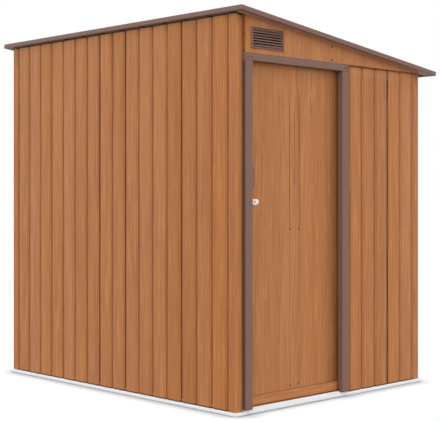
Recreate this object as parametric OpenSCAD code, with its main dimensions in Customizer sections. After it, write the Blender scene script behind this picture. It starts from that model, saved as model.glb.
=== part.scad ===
// Metal garden shed with a single-pitch roof and one sliding door.
// All sizes are in millimetres. X runs along the door side, from the high eave to the low eave.
// Y runs from the door side to the back, and Z runs up from the ground.
// The origin is on the ground under the centre of the roof.

/* [Walls] */
// Outside width of the door side
wall_w = 1413; // [1250:1:1700]
// Outside length of the long sides
wall_l = 1826; // [1500:1:2400]
// Top of the tall long wall above the ground
wall_high = 1865; // [1840:1:2100]
// Top of the low long wall above the ground
wall_low = 1681; // [1670:1:1780]
// Width of each face of a corner post
post_w = 42.7; // [30:0.1:52]
// Thickness of every rolled sheet
sheet_t = 1.2; // [0.8:0.1:1.6]

/* [Wall grooves] */
// Distance from groove to groove
groove_pitch = 107.5; // [80:0.5:140]
// Width of a groove at the face of the wall
groove_w = 21; // [14:1:30]
// Width of the floor of a groove
groove_floor = 9; // [5:1:12]
// Depth of a groove
groove_d = 9; // [4:0.5:10]
// Least distance from a corner post to the first groove centre
groove_edge = 9.5; // [9.5:0.5:25]
// Distance from the low corner to the first groove beside the door
front_groove_edge = 58; // [54:0.5:70]

/* [Base frame] */
// Height of the base frame
base_h = 15.4; // [10:0.1:30]
// How far the base frame stands out past the walls
base_out = 9.6; // [4:0.1:20]
// Width of the base frame's foot inside the walls
base_in = 46; // [46:1:80]
// Top of the screw strips behind the feet of the walls
cleat_top_z = 60; // [45:1:90]

/* [Door frame] */
// Width of the door frame's side pieces
jamb_w = 49.1; // [35:0.1:60]
// Clear width of the doorway
door_clear_w = 649.4; // [500:0.1:700]
// Underside of the door frame's head
head_z = 1651; // [1500:1:1651]
// Height of the head
head_h = 35; // [25:1:40]
// How far the door frame stands out from the walls
frame_out = 22; // [15:0.5:30]
// Top of the front step of the sill
sill_front_z = 23.2; // [18:0.1:24]
// Top of the rear step of the sill
sill_rear_z = 27; // [25:0.1:28]

/* [Door] */
// Front of the door behind the wall face
door_y = 17.5; // [17.5:0.1:20]
// Depth of the door
door_d = 20.5; // [16:0.5:22]
// Underside of the door
door_bottom_z = 32; // [32:0.5:40]
// Height of the rail along the foot of the door
door_rail_h = 44; // [30:1:60]
// How far the door runs in behind each side piece of the frame
door_cover_l = 21.8; // [10:0.1:25]
// How far it runs in behind the other side piece
door_cover_r = 37.8; // [10:0.1:45]
// Width of the stiffener behind the middle of the door
stiffener_w = 71; // [40:1:100]
// Height of the handle's centre
handle_z = 1107.5; // [900:0.5:1250]
// Length of the handle
handle_h = 113; // [80:1:160]
// Width of the handle
handle_w = 34; // [25:1:36]
// Height of the lock tab's centre
hasp_z = 991; // [850:1:1020]
// Height of the lock tab
hasp_h = 31.5; // [24:0.5:40]

/* [Vents] */
// Width of a vent
vent_w = 222; // [120:1:230]
// Height of a vent
vent_h = 100; // [60:1:100]
// Number of slats in a vent
vent_slats = 7; // [4:1:8]

/* [Roof] */
// Overhang at the tall wall, along the slope
overhang_high = 25; // [15:1:60]
// Overhang at the low wall, along the slope
overhang_low = 75; // [30:1:120]
// Overhang at the door side and at the back
overhang_end = 62; // [45:1:100]
// Height of the edge trim's face
trim_h = 24; // [20:1:30]
// Height of the ribs in the roof sheets
roof_rib_h = 12; // [6:1:14]

/* [Hidden] */

// Gaps between pieces that are screwed or set against each other
seat_gap = 0.3;
// Clearance kept round the sliding door
run_gap = 5;
// Room left between a cut edge and the next piece inside the walls
cut_gap = 2;
// Running clearance of the door's plastic guides, above and below, and at their sides
guide_gap = 0.4;
guide_side_gap = 0.9;

// Slope of the roof
roof_fall = (wall_high - wall_low) / wall_w;
roof_angle = atan(roof_fall);
function roof_line(x) = wall_high - x * roof_fall;

// Heights above the wall tops, square to the slope
sheet_n = 6;
trim_foot_n = sheet_n - seat_gap - sheet_t;
trim_top_n = trim_foot_n + trim_h;
frame_top_n = sheet_n - 0.5;
gable_trim_foot_n = frame_top_n - sheet_t;
trim_foot_w = 15;
trim_top_w = 30;
roof_s0 = -overhang_high;
roof_s1 = wall_w / cos(roof_angle) + overhang_low;
roof_y0 = -overhang_end;
roof_y1 = wall_l + overhang_end;
roof_l = roof_y1 - roof_y0;
roof_x0 = roof_s0 * cos(roof_angle) + trim_foot_n * sin(roof_angle);
roof_x1 = roof_s1 * cos(roof_angle) + trim_top_n * sin(roof_angle);

// Wall grooves
inner_face = groove_d + sheet_t + seat_gap;
lining_face = inner_face + sheet_t;
function groove_count(len) = floor((len - 2 * (post_w + groove_edge)) / groove_pitch) + 1;
function groove_rows(len) = [
    let (n = groove_count(len), first = (len - (n - 1) * groove_pitch) / 2)
    for (k = [0 : n - 1]) first + k * groove_pitch
];

// Door frame and doorway
door_x0 = post_w + jamb_w;
door_x1 = door_x0 + door_clear_w;
frame_x1 = door_x1 + jamb_w;
head_top_z = head_z + head_h;
gable_z = head_top_z + seat_gap;
gable_lap = 14;
front_wall_lap = 31.4;
front_wall_x0 = frame_x1 - front_wall_lap;
front_last = wall_w - front_groove_edge;
front_flat = 3;
front_count = floor((front_last - frame_x1 - groove_w / 2 - front_flat) / groove_pitch);
front_rows = [for (k = [front_count : -1 : 0]) front_last - k * groove_pitch];

// Tracks
track_x0 = base_in - cut_gap;
track_x1 = wall_w - lining_face - cut_gap;
track_h = 25;
upper_y0 = inner_face + seat_gap;
upper_y1 = door_y + door_d + run_gap + 1.7;
upper_z1 = wall_low - 1;
upper_z0 = upper_z1 - track_h;
lower_y0 = inner_face + 3.5;
lower_y1 = upper_y1 - 0.7;
lower_z = base_h + sheet_t;
lower_lip_z = sill_rear_z - cut_gap;

// Door
leaf_x0 = door_x0 - door_cover_l;
leaf_x1 = door_x1 + door_cover_r;
leaf_y = door_y + sheet_t + seat_gap;
leaf_back = door_y + door_d - sheet_t - seat_gap;
door_top_z = upper_z1 - sheet_t - 6.8;
stiffener_x = leaf_x0 + (leaf_x1 - leaf_x0) / 2 - stiffener_w / 2;

module in_place() {
    translate([-(roof_x0 + roof_x1) / 2, -wall_l / 2, 0]) children();
}

// An outline drawn in Y and Z, run along X
module along_x(x, len) {
    translate([x, 0, 0]) rotate([90, 0, 90]) linear_extrude(len) children();
}

// An outline drawn in X and Z, run along Y
module along_y(y, len) {
    translate([0, y + len, 0]) rotate([90, 0, 0]) linear_extrude(len) children();
}

module mirror_sides() {
    translate([wall_w, 0, 0]) mirror([1, 0, 0]) children();
}

module mirror_ends() {
    translate([0, wall_l, 0]) mirror([0, 1, 0]) children();
}

// Runs down the slope, across it and square to it, from the top of the tall wall
module on_slope() {
    translate([0, 0, wall_high]) rotate([0, roof_angle, 0]) children();
}

// All that lies below the wall tops, cut square to the ground
module under_roof(drop = 1) {
    intersection() {
        children();
        along_y(-200, wall_l + 400) polygon([
            [-200, -10], [wall_w + 200, -10],
            [wall_w + 200, roof_line(wall_w + 200) - drop], [-200, roof_line(-200) - drop]
        ]);
    }
}

// Outline of a grooved sheet from a to b, with its face on 0 and its grooves going in
module grooved(a, b, rows) {
    edge = groove_w / 2;
    bed = groove_floor / 2;
    at_edge = function(x) len([for (c = rows) if (abs(c - x) < bed) c]) > 0 ? groove_d : 0;
    face = concat(
        [[a, at_edge(a)]],
        [
            for (c = rows)
            for (p = [[c - edge, 0], [c - bed, groove_d], [c + bed, groove_d], [c + edge, 0]])
            if (p.x > a && p.x < b) p
        ],
        [[b, at_edge(b)]]
    );
    back = [for (k = [len(face) - 1 : -1 : 0]) face[k] + [0, sheet_t]];
    polygon(concat(face, back));
}

// One sheet of a long wall, between two fractions of its row of grooves
module long_wall_sheet(from, to) {
    rows = groove_rows(wall_l);
    cut = function(part) rows[round(part * (len(rows) - 1))];
    a = from == 0 ? post_w + seat_gap : cut(from) + seat_gap / 2;
    b = to == 1 ? wall_l - post_w - seat_gap : cut(to) - seat_gap / 2;
    under_roof()
        translate([0, 0, base_h]) linear_extrude(wall_high - base_h)
            rotate([0, 0, 90]) mirror([0, 1, 0]) grooved(a, b, rows);
}

module back_wall_sheet(from, to) {
    rows = groove_rows(wall_w);
    middle = rows[floor(len(rows) / 2)];
    a = from == 0 ? post_w + seat_gap : middle + seat_gap / 2;
    b = to == 1 ? wall_w - post_w - seat_gap : middle - seat_gap / 2;
    mirror_ends() under_roof()
        translate([0, 0, base_h]) linear_extrude(gable_z + gable_lap - base_h)
            grooved(a, b, rows);
}

module corner_post() {
    under_roof() translate([0, 0, base_h]) linear_extrude(wall_high - base_h) difference() {
        square(post_w);
        translate([sheet_t, sheet_t]) square(post_w);
    }
}

// Section of the base frame: foot, outer face and top ledge
module base_section() {
    polygon([
        [-base_out, 0], [base_in, 0], [base_in, sheet_t], [sheet_t - base_out, sheet_t],
        [sheet_t - base_out, base_h - sheet_t], [lining_face, base_h - sheet_t],
        [lining_face, base_h], [-base_out, base_h]
    ]);
}

// Keeps a run along one side between the two mitred corners
module mitred(len, out, deep, gap = 0.15) {
    intersection() {
        children();
        translate([0, 0, -300]) linear_extrude(900) polygon([
            [-out + gap, -out], [len + out - gap, -out],
            [len - deep - gap, deep], [deep + gap, deep]
        ]);
    }
}

module end_base() {
    mitred(wall_w, base_out, base_in + 1)
        along_x(-base_out, wall_w + 2 * base_out) base_section();
}

module side_base() {
    rotate([0, 0, 90]) mirror([0, 1, 0]) mitred(wall_l, base_out, base_in + 1)
        along_x(-base_out, wall_l + 2 * base_out) base_section();
}

module base_front() { color("whitesmoke") in_place() end_base(); }
module base_back() { color("whitesmoke") in_place() mirror_ends() end_base(); }
module base_left() { color("whitesmoke") in_place() side_base(); }
module base_right() { color("whitesmoke") in_place() mirror_sides() side_base(); }

// Screw strip that stands on the base frame behind the foot of a wall
module cleat(x0, x1) {
    translate([x0, inner_face, base_h]) cube([x1 - x0, sheet_t, cleat_top_z - base_h]);
}

module wall_cleats() {
    corner = lining_face + seat_gap;
    color("whitesmoke") in_place() {
        cleat(front_wall_x0, wall_w - corner);
        mirror_ends() cleat(corner, wall_w - corner);
        rotate([0, 0, 90]) mirror([0, 1, 0]) cleat(inner_face, wall_l - inner_face);
        mirror_sides() rotate([0, 0, 90]) mirror([0, 1, 0])
            cleat(inner_face, wall_l - inner_face);
    }
}

module corner_front_left() { color("peru") in_place() corner_post(); }
module corner_back_left() { color("peru") in_place() mirror_ends() corner_post(); }
// The posts of the low wall follow the roof down, so they are cut after they are mirrored
module corner_front_right() { color("peru") in_place() under_roof() mirror_sides() corner_post(); }
module corner_back_right() {
    color("peru") in_place() under_roof() mirror_sides() mirror_ends() corner_post();
}

module left_wall_front() { color("peru") in_place() long_wall_sheet(0, 1 / 3); }
module left_wall_middle() { color("peru") in_place() long_wall_sheet(1 / 3, 2 / 3); }
module left_wall_back() { color("peru") in_place() long_wall_sheet(2 / 3, 1); }

module low_wall_sheet(from, to) { under_roof() mirror_sides() long_wall_sheet(from, to); }
module right_wall_front() { color("peru") in_place() low_wall_sheet(0, 1 / 3); }
module right_wall_middle() { color("peru") in_place() low_wall_sheet(1 / 3, 2 / 3); }
module right_wall_back() { color("peru") in_place() low_wall_sheet(2 / 3, 1); }

module back_wall_left() { color("peru") in_place() back_wall_sheet(0, 1 / 2); }
module back_wall_right() { color("peru") in_place() back_wall_sheet(1 / 2, 1); }

module front_wall() {
    color("peru") in_place() under_roof()
        translate([0, 0, base_h]) linear_extrude(gable_z + gable_lap - base_h)
            grooved(front_wall_x0, wall_w - post_w - seat_gap, front_rows);
}

// Vent place on the gable
vent_x = post_w + 35.3;
vent_z = gable_z + 23.2;
vent_rim = 9;
vent_d = 6;
vent_hole_in = 16;

// Flat panel that closes the end of the building above the door, with turned edges
module gable() {
    far_x = (roof_line(0) - 1 - gable_z) / roof_fall;
    rise = (gable_trim_foot_n - seat_gap) / cos(roof_angle);
    under_roof(-rise) difference() {
        union() {
            along_y(-frame_out, sheet_t) polygon([
                [post_w, gable_z], [far_x, gable_z], [far_x, gable_z + 10],
                [post_w, roof_line(post_w) + 10]
            ]);
            translate([post_w, -frame_out, gable_z])
                cube([sheet_t, frame_out - seat_gap, wall_high - gable_z]);
            translate([post_w, -frame_out, gable_z])
                cube([far_x - post_w, frame_out - seat_gap, sheet_t]);
        }
        translate([vent_x + vent_hole_in, -frame_out - 1, vent_z + vent_hole_in])
            cube([vent_w - 2 * vent_hole_in, sheet_t + 2, vent_h - 2 * vent_hole_in]);
    }
}

module vent() {
    open_w = vent_w - 2 * vent_rim;
    open_h = vent_h - 2 * vent_rim;
    pitch = open_h / vent_slats;
    y = -frame_out - seat_gap - vent_d;
    translate([vent_x, y, vent_z]) union() {
        difference() {
            cube([vent_w, vent_d, vent_h]);
            translate([vent_rim, -1, vent_rim]) cube([open_w, vent_d + 2, open_h]);
        }
        for (k = [0 : vent_slats - 1])
            translate([vent_rim - 0.5, 0.6, vent_rim + pitch * (k + 0.3)])
                rotate([40, 0, 0]) cube([open_w + 1, 7, sheet_t]);
    }
}

// Flat strip that closes the overhang from the roof's end trim to the gable, with a small lip
gable_trim_lip = 2.5;

module gable_trim() {
    foot = gable_trim_foot_n;
    out = roof_y0 + trim_foot_w + seat_gap;
    y = -frame_out - seat_gap;
    on_slope() along_x(seat_gap, wall_w / cos(roof_angle) - 2 * seat_gap) polygon([
        [out, foot], [out, frame_top_n], [sheet_t - frame_out, frame_top_n],
        [sheet_t - frame_out, foot], [y, foot], [y, foot - gable_trim_lip],
        [y - sheet_t, foot - gable_trim_lip], [y - sheet_t, foot]
    ]);
}

module front_gable() { color("peru") in_place() gable(); }
module back_gable() { color("peru") in_place() mirror_ends() gable(); }
module gable_trims() {
    color("rosybrown") in_place() { gable_trim(); mirror_ends() gable_trim(); }
}
module gable_vents() { color("rosybrown") in_place() { vent(); mirror_ends() vent(); } }

// Side piece of the door frame: outer return, face, and the reveal that runs in beside the door
module jamb_section() {
    polygon([
        [0, -seat_gap], [0, -frame_out], [jamb_w, -frame_out], [jamb_w, inner_face],
        [jamb_w - sheet_t, inner_face], [jamb_w - sheet_t, sheet_t - frame_out],
        [sheet_t, sheet_t - frame_out], [sheet_t, -seat_gap]
    ]);
}

// Notch in the foot of the reveal, which clears the rear step of the sill
notch_y = -11;
notch_top_z = 41;

module jamb() {
    z = sill_front_z + seat_gap;
    difference() {
        translate([0, 0, z]) linear_extrude(head_z - seat_gap - z) jamb_section();
        translate([jamb_w - sheet_t - 1, notch_y, z - 1])
            cube([sheet_t + 2, inner_face - notch_y + 1, notch_top_z - z + 1]);
    }
}

module jamb_left() { color("rosybrown") in_place() translate([post_w, 0, 0]) jamb(); }
module jamb_right() {
    color("rosybrown") in_place() translate([frame_x1, 0, 0]) mirror([1, 0, 0]) jamb();
}

module door_head() {
    t = sheet_t;
    color("rosybrown") in_place() union() {
        along_x(post_w, frame_x1 - post_w) polygon([
            [-frame_out, head_z], [-seat_gap, head_z], [-seat_gap, head_z + t],
            [t - frame_out, head_z + t], [t - frame_out, head_top_z - t],
            [-seat_gap, head_top_z - t], [-seat_gap, head_top_z], [-frame_out, head_top_z]
        ]);
        translate([door_x0 - t, -frame_out, head_z])
            cube([door_clear_w + 2 * t, frame_out + inner_face, t]);
        for (x = [post_w, frame_x1 - t])
            translate([x, -frame_out, head_z]) cube([t, frame_out - seat_gap, head_h]);
    }
}

// Stepped threshold on the front of the base frame
module door_sill() {
    lip_y = -base_out - 2.4;
    step_y = -2;
    back_y = lower_y0 - sheet_t - seat_gap;
    color("whitesmoke") in_place() union() {
        along_x(post_w, frame_x1 - post_w) polygon([
            [lip_y, 6], [lip_y, sill_front_z], [step_y + sheet_t, sill_front_z],
            [step_y + sheet_t, base_h], [step_y, base_h], [step_y, sill_front_z - sheet_t],
            [lip_y + sheet_t, sill_front_z - sheet_t], [lip_y + sheet_t, 6]
        ]);
        along_x(door_x0 + seat_gap, door_clear_w - 2 * seat_gap) polygon([
            [step_y, sill_front_z - sheet_t], [step_y, sill_rear_z],
            [back_y, sill_rear_z], [back_y, base_h],
            [back_y - sheet_t, base_h], [back_y - sheet_t, sill_rear_z - sheet_t],
            [step_y + sheet_t, sill_rear_z - sheet_t], [step_y + sheet_t, sill_front_z - sheet_t]
        ]);
    }
}

// Hollow rail that the door's lower guides run on
module lower_track() {
    t = sheet_t;
    w = lower_y1 - lower_y0;
    color("whitesmoke") in_place() along_x(track_x0, track_x1 - track_x0)
        translate([lower_y0, t]) difference() {
            square([w, lower_z - t]);
            translate([t, t]) square([w - 2 * t, lower_z - 3 * t]);
        }
}

module upper_track() {
    color("silver") in_place() along_x(track_x0, track_x1 - track_x0)
        translate([upper_y0, upper_z1 - sheet_t]) square([upper_y1 - upper_y0, sheet_t]);
}

// Strips that stand along both edges of the lower track and hang from both edges of the upper one
module track_sides() {
    t = sheet_t;
    color("silver") in_place() along_x(track_x0, track_x1 - track_x0) {
        for (y = [lower_y0 - t, lower_y1])
            translate([y, t]) square([t, lower_lip_z - run_gap - t]);
        for (y = [upper_y0, upper_y1 - t])
            translate([y, upper_z0]) square([t, upper_z1 - t - upper_z0]);
    }
}

// Stiffening channels at half height, behind the grooves
mid_rail_z = 835;
mid_rail_h = 40;
mid_rail_d = 16;
front_strip_t = 1.6;

module mid_channel(x0, x1) {
    t = sheet_t;
    z1 = mid_rail_z + mid_rail_h;
    back = inner_face + mid_rail_d;
    along_x(x0, x1 - x0) polygon([
        [back, mid_rail_z], [inner_face, mid_rail_z], [inner_face, z1], [back, z1],
        [back, z1 - t], [inner_face + t, z1 - t], [inner_face + t, mid_rail_z + t],
        [back, mid_rail_z + t]
    ]);
}

module mid_rails() {
    corner = inner_face + mid_rail_d + cut_gap;
    door_corner = upper_y1 + 4;
    color("silver") in_place() {
        rotate([0, 0, 90]) mirror([0, 1, 0]) mid_channel(corner, wall_l - corner);
        mirror_sides() rotate([0, 0, 90]) mirror([0, 1, 0])
            mid_channel(door_corner, wall_l - corner);
        mirror_ends() mid_channel(inner_face, wall_w - inner_face);
        translate([front_wall_x0, inner_face, mid_rail_z])
            cube([track_x1 - front_wall_x0, front_strip_t, mid_rail_h]);
    }
}

// Angle inside the top of a long wall, with a leg that follows the slope under the roof sheets
module top_rail_section(x, side, foot_z) {
    top = function(at) roof_line(at) + frame_top_n / cos(roof_angle);
    reach = x + side * 30;
    polygon([
        [x, foot_z], [x, top(x)], [reach, top(reach)], [reach, top(reach) - sheet_t],
        [x + side * sheet_t, top(x + side * sheet_t) - sheet_t], [x + side * sheet_t, foot_z]
    ]);
}

module top_rails() {
    low_x = wall_w - inner_face;
    color("silver") in_place() {
        along_y(inner_face + seat_gap, wall_l - 2 * inner_face - 2 * seat_gap) {
            top_rail_section(inner_face, 1, roof_line(inner_face) - 40);
            top_rail_section(low_x, -1, roof_line(low_x) - 20);
        }
    }
}

// Two beams that carry the roof sheets from gable to gable
beam_w = 25;
beam_h = 40;

module roof_beam(s) {
    t = sheet_t;
    y = -frame_out + sheet_t + seat_gap;
    translate([0, y, 0]) on_slope() along_y(0, wall_l - 2 * y) polygon([
        [s + beam_w, frame_top_n], [s, frame_top_n], [s, frame_top_n - beam_h],
        [s + beam_w, frame_top_n - beam_h], [s + beam_w, frame_top_n - beam_h + t],
        [s + t, frame_top_n - beam_h + t], [s + t, frame_top_n - t], [s + beam_w, frame_top_n - t]
    ]);
}

module roof_beams() {
    color("silver") in_place() for (k = [1, 2])
        roof_beam(k * wall_w / 3 - beam_w / 2);
}

// Roof sheets, each with ribs that run down the slope
roof_ribs = 4;
roof_rib_foot = 34;
roof_rib_top = 20;
roof_edge = sheet_t + 0.6;

module roof_sheet(k) {
    module_l = roof_l / 3;
    y0 = roof_y0 + k * module_l + (k == 0 ? roof_edge : 0.2);
    y1 = roof_y0 + (k + 1) * module_l - (k == 2 ? roof_edge : 0.2);
    pitch = module_l / roof_ribs;
    mids = [for (r = [0 : roof_ribs - 1]) roof_y0 + k * module_l + pitch * (r + 0.5)];
    top = concat(
        [[y0, sheet_n + sheet_t]],
        [
            for (m = mids) for (p = [[-roof_rib_foot, 0], [-roof_rib_top, roof_rib_h],
                [roof_rib_top, roof_rib_h], [roof_rib_foot, 0]])
            [m + p.x / 2, sheet_n + sheet_t + p.y]
        ],
        [[y1, sheet_n + sheet_t]]
    );
    foot = [for (i = [len(top) - 1 : -1 : 0]) top[i] - [0, sheet_t]];
    s0 = roof_s0 + roof_edge;
    on_slope() along_x(s0, roof_s1 - roof_edge - s0) polygon(concat(top, foot));
}

module roof_sheet_front() { color("rosybrown") in_place() roof_sheet(0); }
module roof_sheet_middle() { color("rosybrown") in_place() roof_sheet(1); }
module roof_sheet_back() { color("rosybrown") in_place() roof_sheet(2); }

// Channel that wraps a roof edge, with its face on 0 and its legs going in
module trim_section() {
    t = sheet_t;
    polygon([
        [0, trim_foot_n], [trim_foot_w, trim_foot_n], [trim_foot_w, trim_foot_n + t],
        [t, trim_foot_n + t], [t, trim_top_n - t], [trim_top_w, trim_top_n - t],
        [trim_top_w, trim_top_n], [0, trim_top_n]
    ]);
}

// Mitre for a trim of the given run, drawn from its outer corner
module trim_mitre(run) {
    deep = trim_top_w + 1;
    intersection() {
        children();
        translate([0, 0, -10]) linear_extrude(trim_h + 40) polygon([
            [0.15, 0], [run - 0.15, 0], [run - deep - 0.15, deep], [deep + 0.15, deep]
        ]);
    }
}

module end_trim() {
    run = roof_s1 - roof_s0;
    on_slope() translate([roof_s0, roof_y0, 0]) trim_mitre(run) along_x(0, run) trim_section();
}

// Trim along an eave, with its run measured from the front corner
module eave_trim(from, to) {
    rotate([0, 0, 90]) mirror([0, 1, 0]) intersection() {
        trim_mitre(roof_l) along_x(0, roof_l) trim_section();
        translate([from, -1, -10]) cube([to - from, trim_top_w + 2, trim_h + 40]);
    }
}

high_trim_joint = roof_l * 2 / 3;

module high_trim(from, to) { on_slope() translate([roof_s0, roof_y0, 0]) eave_trim(from, to); }

module high_trim_front() { color("rosybrown") in_place() high_trim(0, high_trim_joint - 0.2); }
module high_trim_back() { color("rosybrown") in_place() high_trim(high_trim_joint + 0.2, roof_l); }
module low_trim() {
    color("rosybrown") in_place() on_slope() translate([roof_s1, roof_y0, 0])
        mirror([1, 0, 0]) eave_trim(0, roof_l);
}
module front_trim() { color("rosybrown") in_place() end_trim(); }
module back_trim() { color("rosybrown") in_place() mirror_ends() end_trim(); }

// Flat sheet of the door, with its long edges turned back
module door_leaf() {
    z = door_bottom_z + sheet_t + seat_gap;
    t = sheet_t;
    color("peru") in_place() translate([0, 0, z])
        linear_extrude(door_top_z - sheet_t - seat_gap - z) polygon([
            [leaf_x0, leaf_y], [leaf_x1, leaf_y], [leaf_x1, leaf_back], [leaf_x1 - t, leaf_back],
            [leaf_x1 - t, leaf_y + t], [leaf_x0 + t, leaf_y + t], [leaf_x0 + t, leaf_back],
            [leaf_x0, leaf_back]
        ]);
}

// Channel that caps an end of the door, with its web on 0 and its legs going up
module door_rail(h) {
    t = sheet_t;
    along_x(leaf_x0, leaf_x1 - leaf_x0) translate([door_y, 0]) polygon([
        [0, 0], [door_d, 0], [door_d, h], [door_d - t, h],
        [door_d - t, t], [t, t], [t, h], [0, h]
    ]);
}

door_top_rail_h = 20;

module door_top_rail() {
    color("peru") in_place() translate([0, 0, door_top_z]) mirror([0, 0, 1])
        door_rail(door_top_rail_h);
}

// The foot rail has a lip in front that hides the guides behind the threshold
module door_foot_rail() {
    lip = door_bottom_z - lower_lip_z - seat_gap;
    color("peru") in_place() translate([0, 0, door_bottom_z]) union() {
        door_rail(door_rail_h);
        translate([leaf_x0, door_y, -lip]) cube([leaf_x1 - leaf_x0, sheet_t, lip + sheet_t]);
    }
}

// Hat section behind the middle of the door
stiffener_foot_gap = 23;
stiffener_head_gap = 107;

module door_stiffener() {
    t = sheet_t;
    brim = 14;
    y0 = leaf_y + t + 0.1;
    y1 = leaf_back - cut_gap;
    z0 = door_bottom_z + door_rail_h + stiffener_foot_gap;
    z1 = door_top_z - door_top_rail_h - stiffener_head_gap;
    w = stiffener_w;
    color("silver") in_place() translate([stiffener_x, 0, z0]) linear_extrude(z1 - z0) polygon([
        [0, y0], [brim, y0], [brim, y1 - t], [w - brim, y1 - t], [w - brim, y0], [w, y0],
        [w, y0 + t], [w - brim + t, y0 + t], [w - brim + t, y1], [brim - t, y1],
        [brim - t, y0 + t], [0, y0 + t]
    ]);
}

// Raised plate with sloped ends, on the edge of the door beside the frame
module door_handle() {
    top_y = 5;
    slope = 17;
    narrow = 8;
    x0 = door_x0 + run_gap + 0.2;
    half = handle_h / 2;
    color("rosybrown") in_place() translate([x0, 0, handle_z])
        along_y(top_y, leaf_y - 0.1 - top_y) polygon([
            [0, -half], [narrow, -half], [handle_w, slope - half],
            [handle_w, half - slope], [narrow, half], [0, half]
        ]);
}

// Round-ended tab that stands out in front of the frame, with a slot for a padlock's shackle
tab_t = 2;
tab_end_y = -58;
tab_foot_w = 16;

module lock_tab(root_y) {
    r = hasp_h / 2;
    slot_r = 4.5;
    slot_l = 24;
    translate([0, 0, hasp_z]) along_x(0, tab_t) difference() {
        union() {
            translate([tab_end_y + r, -r]) square([root_y - tab_end_y - r, 2 * r]);
            translate([tab_end_y + r, 0]) circle(r, $fn = 48);
        }
        for (y = [0, slot_l - 2 * slot_r])
            translate([tab_end_y + r - 2 + y, 0]) circle(slot_r, $fn = 48);
        translate([tab_end_y + r - 2, -slot_r]) square([slot_l - 2 * slot_r, 2 * slot_r]);
    }
}

module lock_keeper() {
    color("white") in_place() translate([door_x0 + seat_gap, 0, 0]) lock_tab(0);
}

module door_hasp() {
    foot_y = leaf_y - 0.1;
    color("white") in_place() translate([door_x0 + seat_gap + tab_t + run_gap, 0, 0]) union() {
        lock_tab(foot_y);
        translate([0, foot_y - tab_t, hasp_z - hasp_h / 2]) cube([tab_foot_w, tab_t, hasp_h]);
    }
}

// Plastic blocks that run in the two tracks
module door_guides() {
    len = 60;
    inset = 40;
    top_h = 5;
    side = guide_side_gap;
    neck_y = lower_y0 + run_gap;
    foot_z = lower_z + guide_gap;
    color("dimgray") in_place() for (x = [leaf_x0 + inset, leaf_x1 - inset - len]) {
        translate([x, lower_y0 + side, foot_z])
            cube([len, lower_y1 - lower_y0 - 2 * side, lower_lip_z - foot_z]);
        translate([x, neck_y, foot_z])
            cube([len, lower_y1 - run_gap - neck_y, door_bottom_z - foot_z]);
        translate([x, upper_y0 + sheet_t + side, door_top_z])
            cube([len, upper_y1 - upper_y0 - 2 * sheet_t - 2 * side, top_h]);
    }
}

base_front();
base_back();
base_left();
base_right();
wall_cleats();
door_sill();
lower_track();
upper_track();
track_sides();
corner_front_left();
corner_front_right();
corner_back_left();
corner_back_right();
left_wall_front();
left_wall_middle();
left_wall_back();
right_wall_front();
right_wall_middle();
right_wall_back();
back_wall_left();
back_wall_right();
front_wall();
front_gable();
back_gable();
gable_trims();
gable_vents();
jamb_left();
jamb_right();
door_head();
lock_keeper();
mid_rails();
top_rails();
roof_beams();
roof_sheet_front();
roof_sheet_middle();
roof_sheet_back();
high_trim_front();
high_trim_back();
low_trim();
front_trim();
back_trim();
door_leaf();
door_top_rail();
door_foot_rail();
door_stiffener();
door_handle();
door_hasp();
door_guides();
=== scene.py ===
import math
from functools import partial
import bmesh
import bpy
from mathutils import Matrix, Vector


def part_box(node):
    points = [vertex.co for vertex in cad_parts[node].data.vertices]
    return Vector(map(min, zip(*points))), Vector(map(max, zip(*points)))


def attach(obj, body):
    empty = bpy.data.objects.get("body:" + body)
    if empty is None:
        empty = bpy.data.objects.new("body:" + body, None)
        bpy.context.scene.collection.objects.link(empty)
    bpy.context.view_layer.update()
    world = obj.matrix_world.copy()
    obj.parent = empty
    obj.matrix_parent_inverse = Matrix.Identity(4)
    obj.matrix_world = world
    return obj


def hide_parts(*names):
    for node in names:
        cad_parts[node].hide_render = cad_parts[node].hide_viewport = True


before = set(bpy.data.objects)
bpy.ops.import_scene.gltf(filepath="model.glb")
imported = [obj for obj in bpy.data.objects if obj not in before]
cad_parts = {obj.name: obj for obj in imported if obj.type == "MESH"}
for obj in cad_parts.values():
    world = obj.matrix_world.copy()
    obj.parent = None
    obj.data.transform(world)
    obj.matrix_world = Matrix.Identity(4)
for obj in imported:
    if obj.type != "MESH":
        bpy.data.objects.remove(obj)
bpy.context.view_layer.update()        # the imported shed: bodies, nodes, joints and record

scene = bpy.context.scene
mm = 0.001


# where the shed's walls and roof lie

def low(node):
    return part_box(node)[0]


def high(node):
    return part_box(node)[1]


leftFace, frontFace = low("corner_front_left").x, low("corner_front_left").y
rightFace, backFace = high("corner_back_right").x, high("corner_back_right").y
roofGap = 1 * mm         # the wall tops stop this far under the roof's lower line
tallTop = high("left_wall_front").z + roofGap
roofFall = (tallTop - roofGap - high("right_wall_front").z) / (low("right_wall_front").x - leftFace)
roofAngle = math.atan(roofFall)
slopeWay = Vector((math.cos(roofAngle), 0, -math.sin(roofAngle)))
roofNormal = Vector((math.sin(roofAngle), 0, math.cos(roofAngle)))
sheet = 1.2 * mm         # thickness of every rolled sheet
wallLength, wallWidth = backFace - frontFace, rightFace - leftFace
baseTop = high("base_front").z
farOff = 9.0             # a limit further away than anything on the shed


def roofLine(x):
    return tallTop - (x - leftFace) * roofFall


def axes(at, u, v, w):
    columns = [Vector(u), Vector(v), Vector(w), Vector(at)]
    return Matrix([[c[row] for c in columns] for row in range(3)] + [[0, 0, 0, 1]])


# each side of the building: u goes in through the wall, v up and w along it
leftSide = axes((leftFace, frontFace, 0), (1, 0, 0), (0, 0, 1), (0, 1, 0))
rightSide = axes((rightFace, frontFace, 0), (-1, 0, 0), (0, 0, 1), (0, 1, 0))
frontSide = axes((leftFace, frontFace, 0), (0, 1, 0), (0, 0, 1), (1, 0, 0))
backSide = axes((leftFace, backFace, 0), (0, -1, 0), (0, 0, 1), (1, 0, 0))


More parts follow.
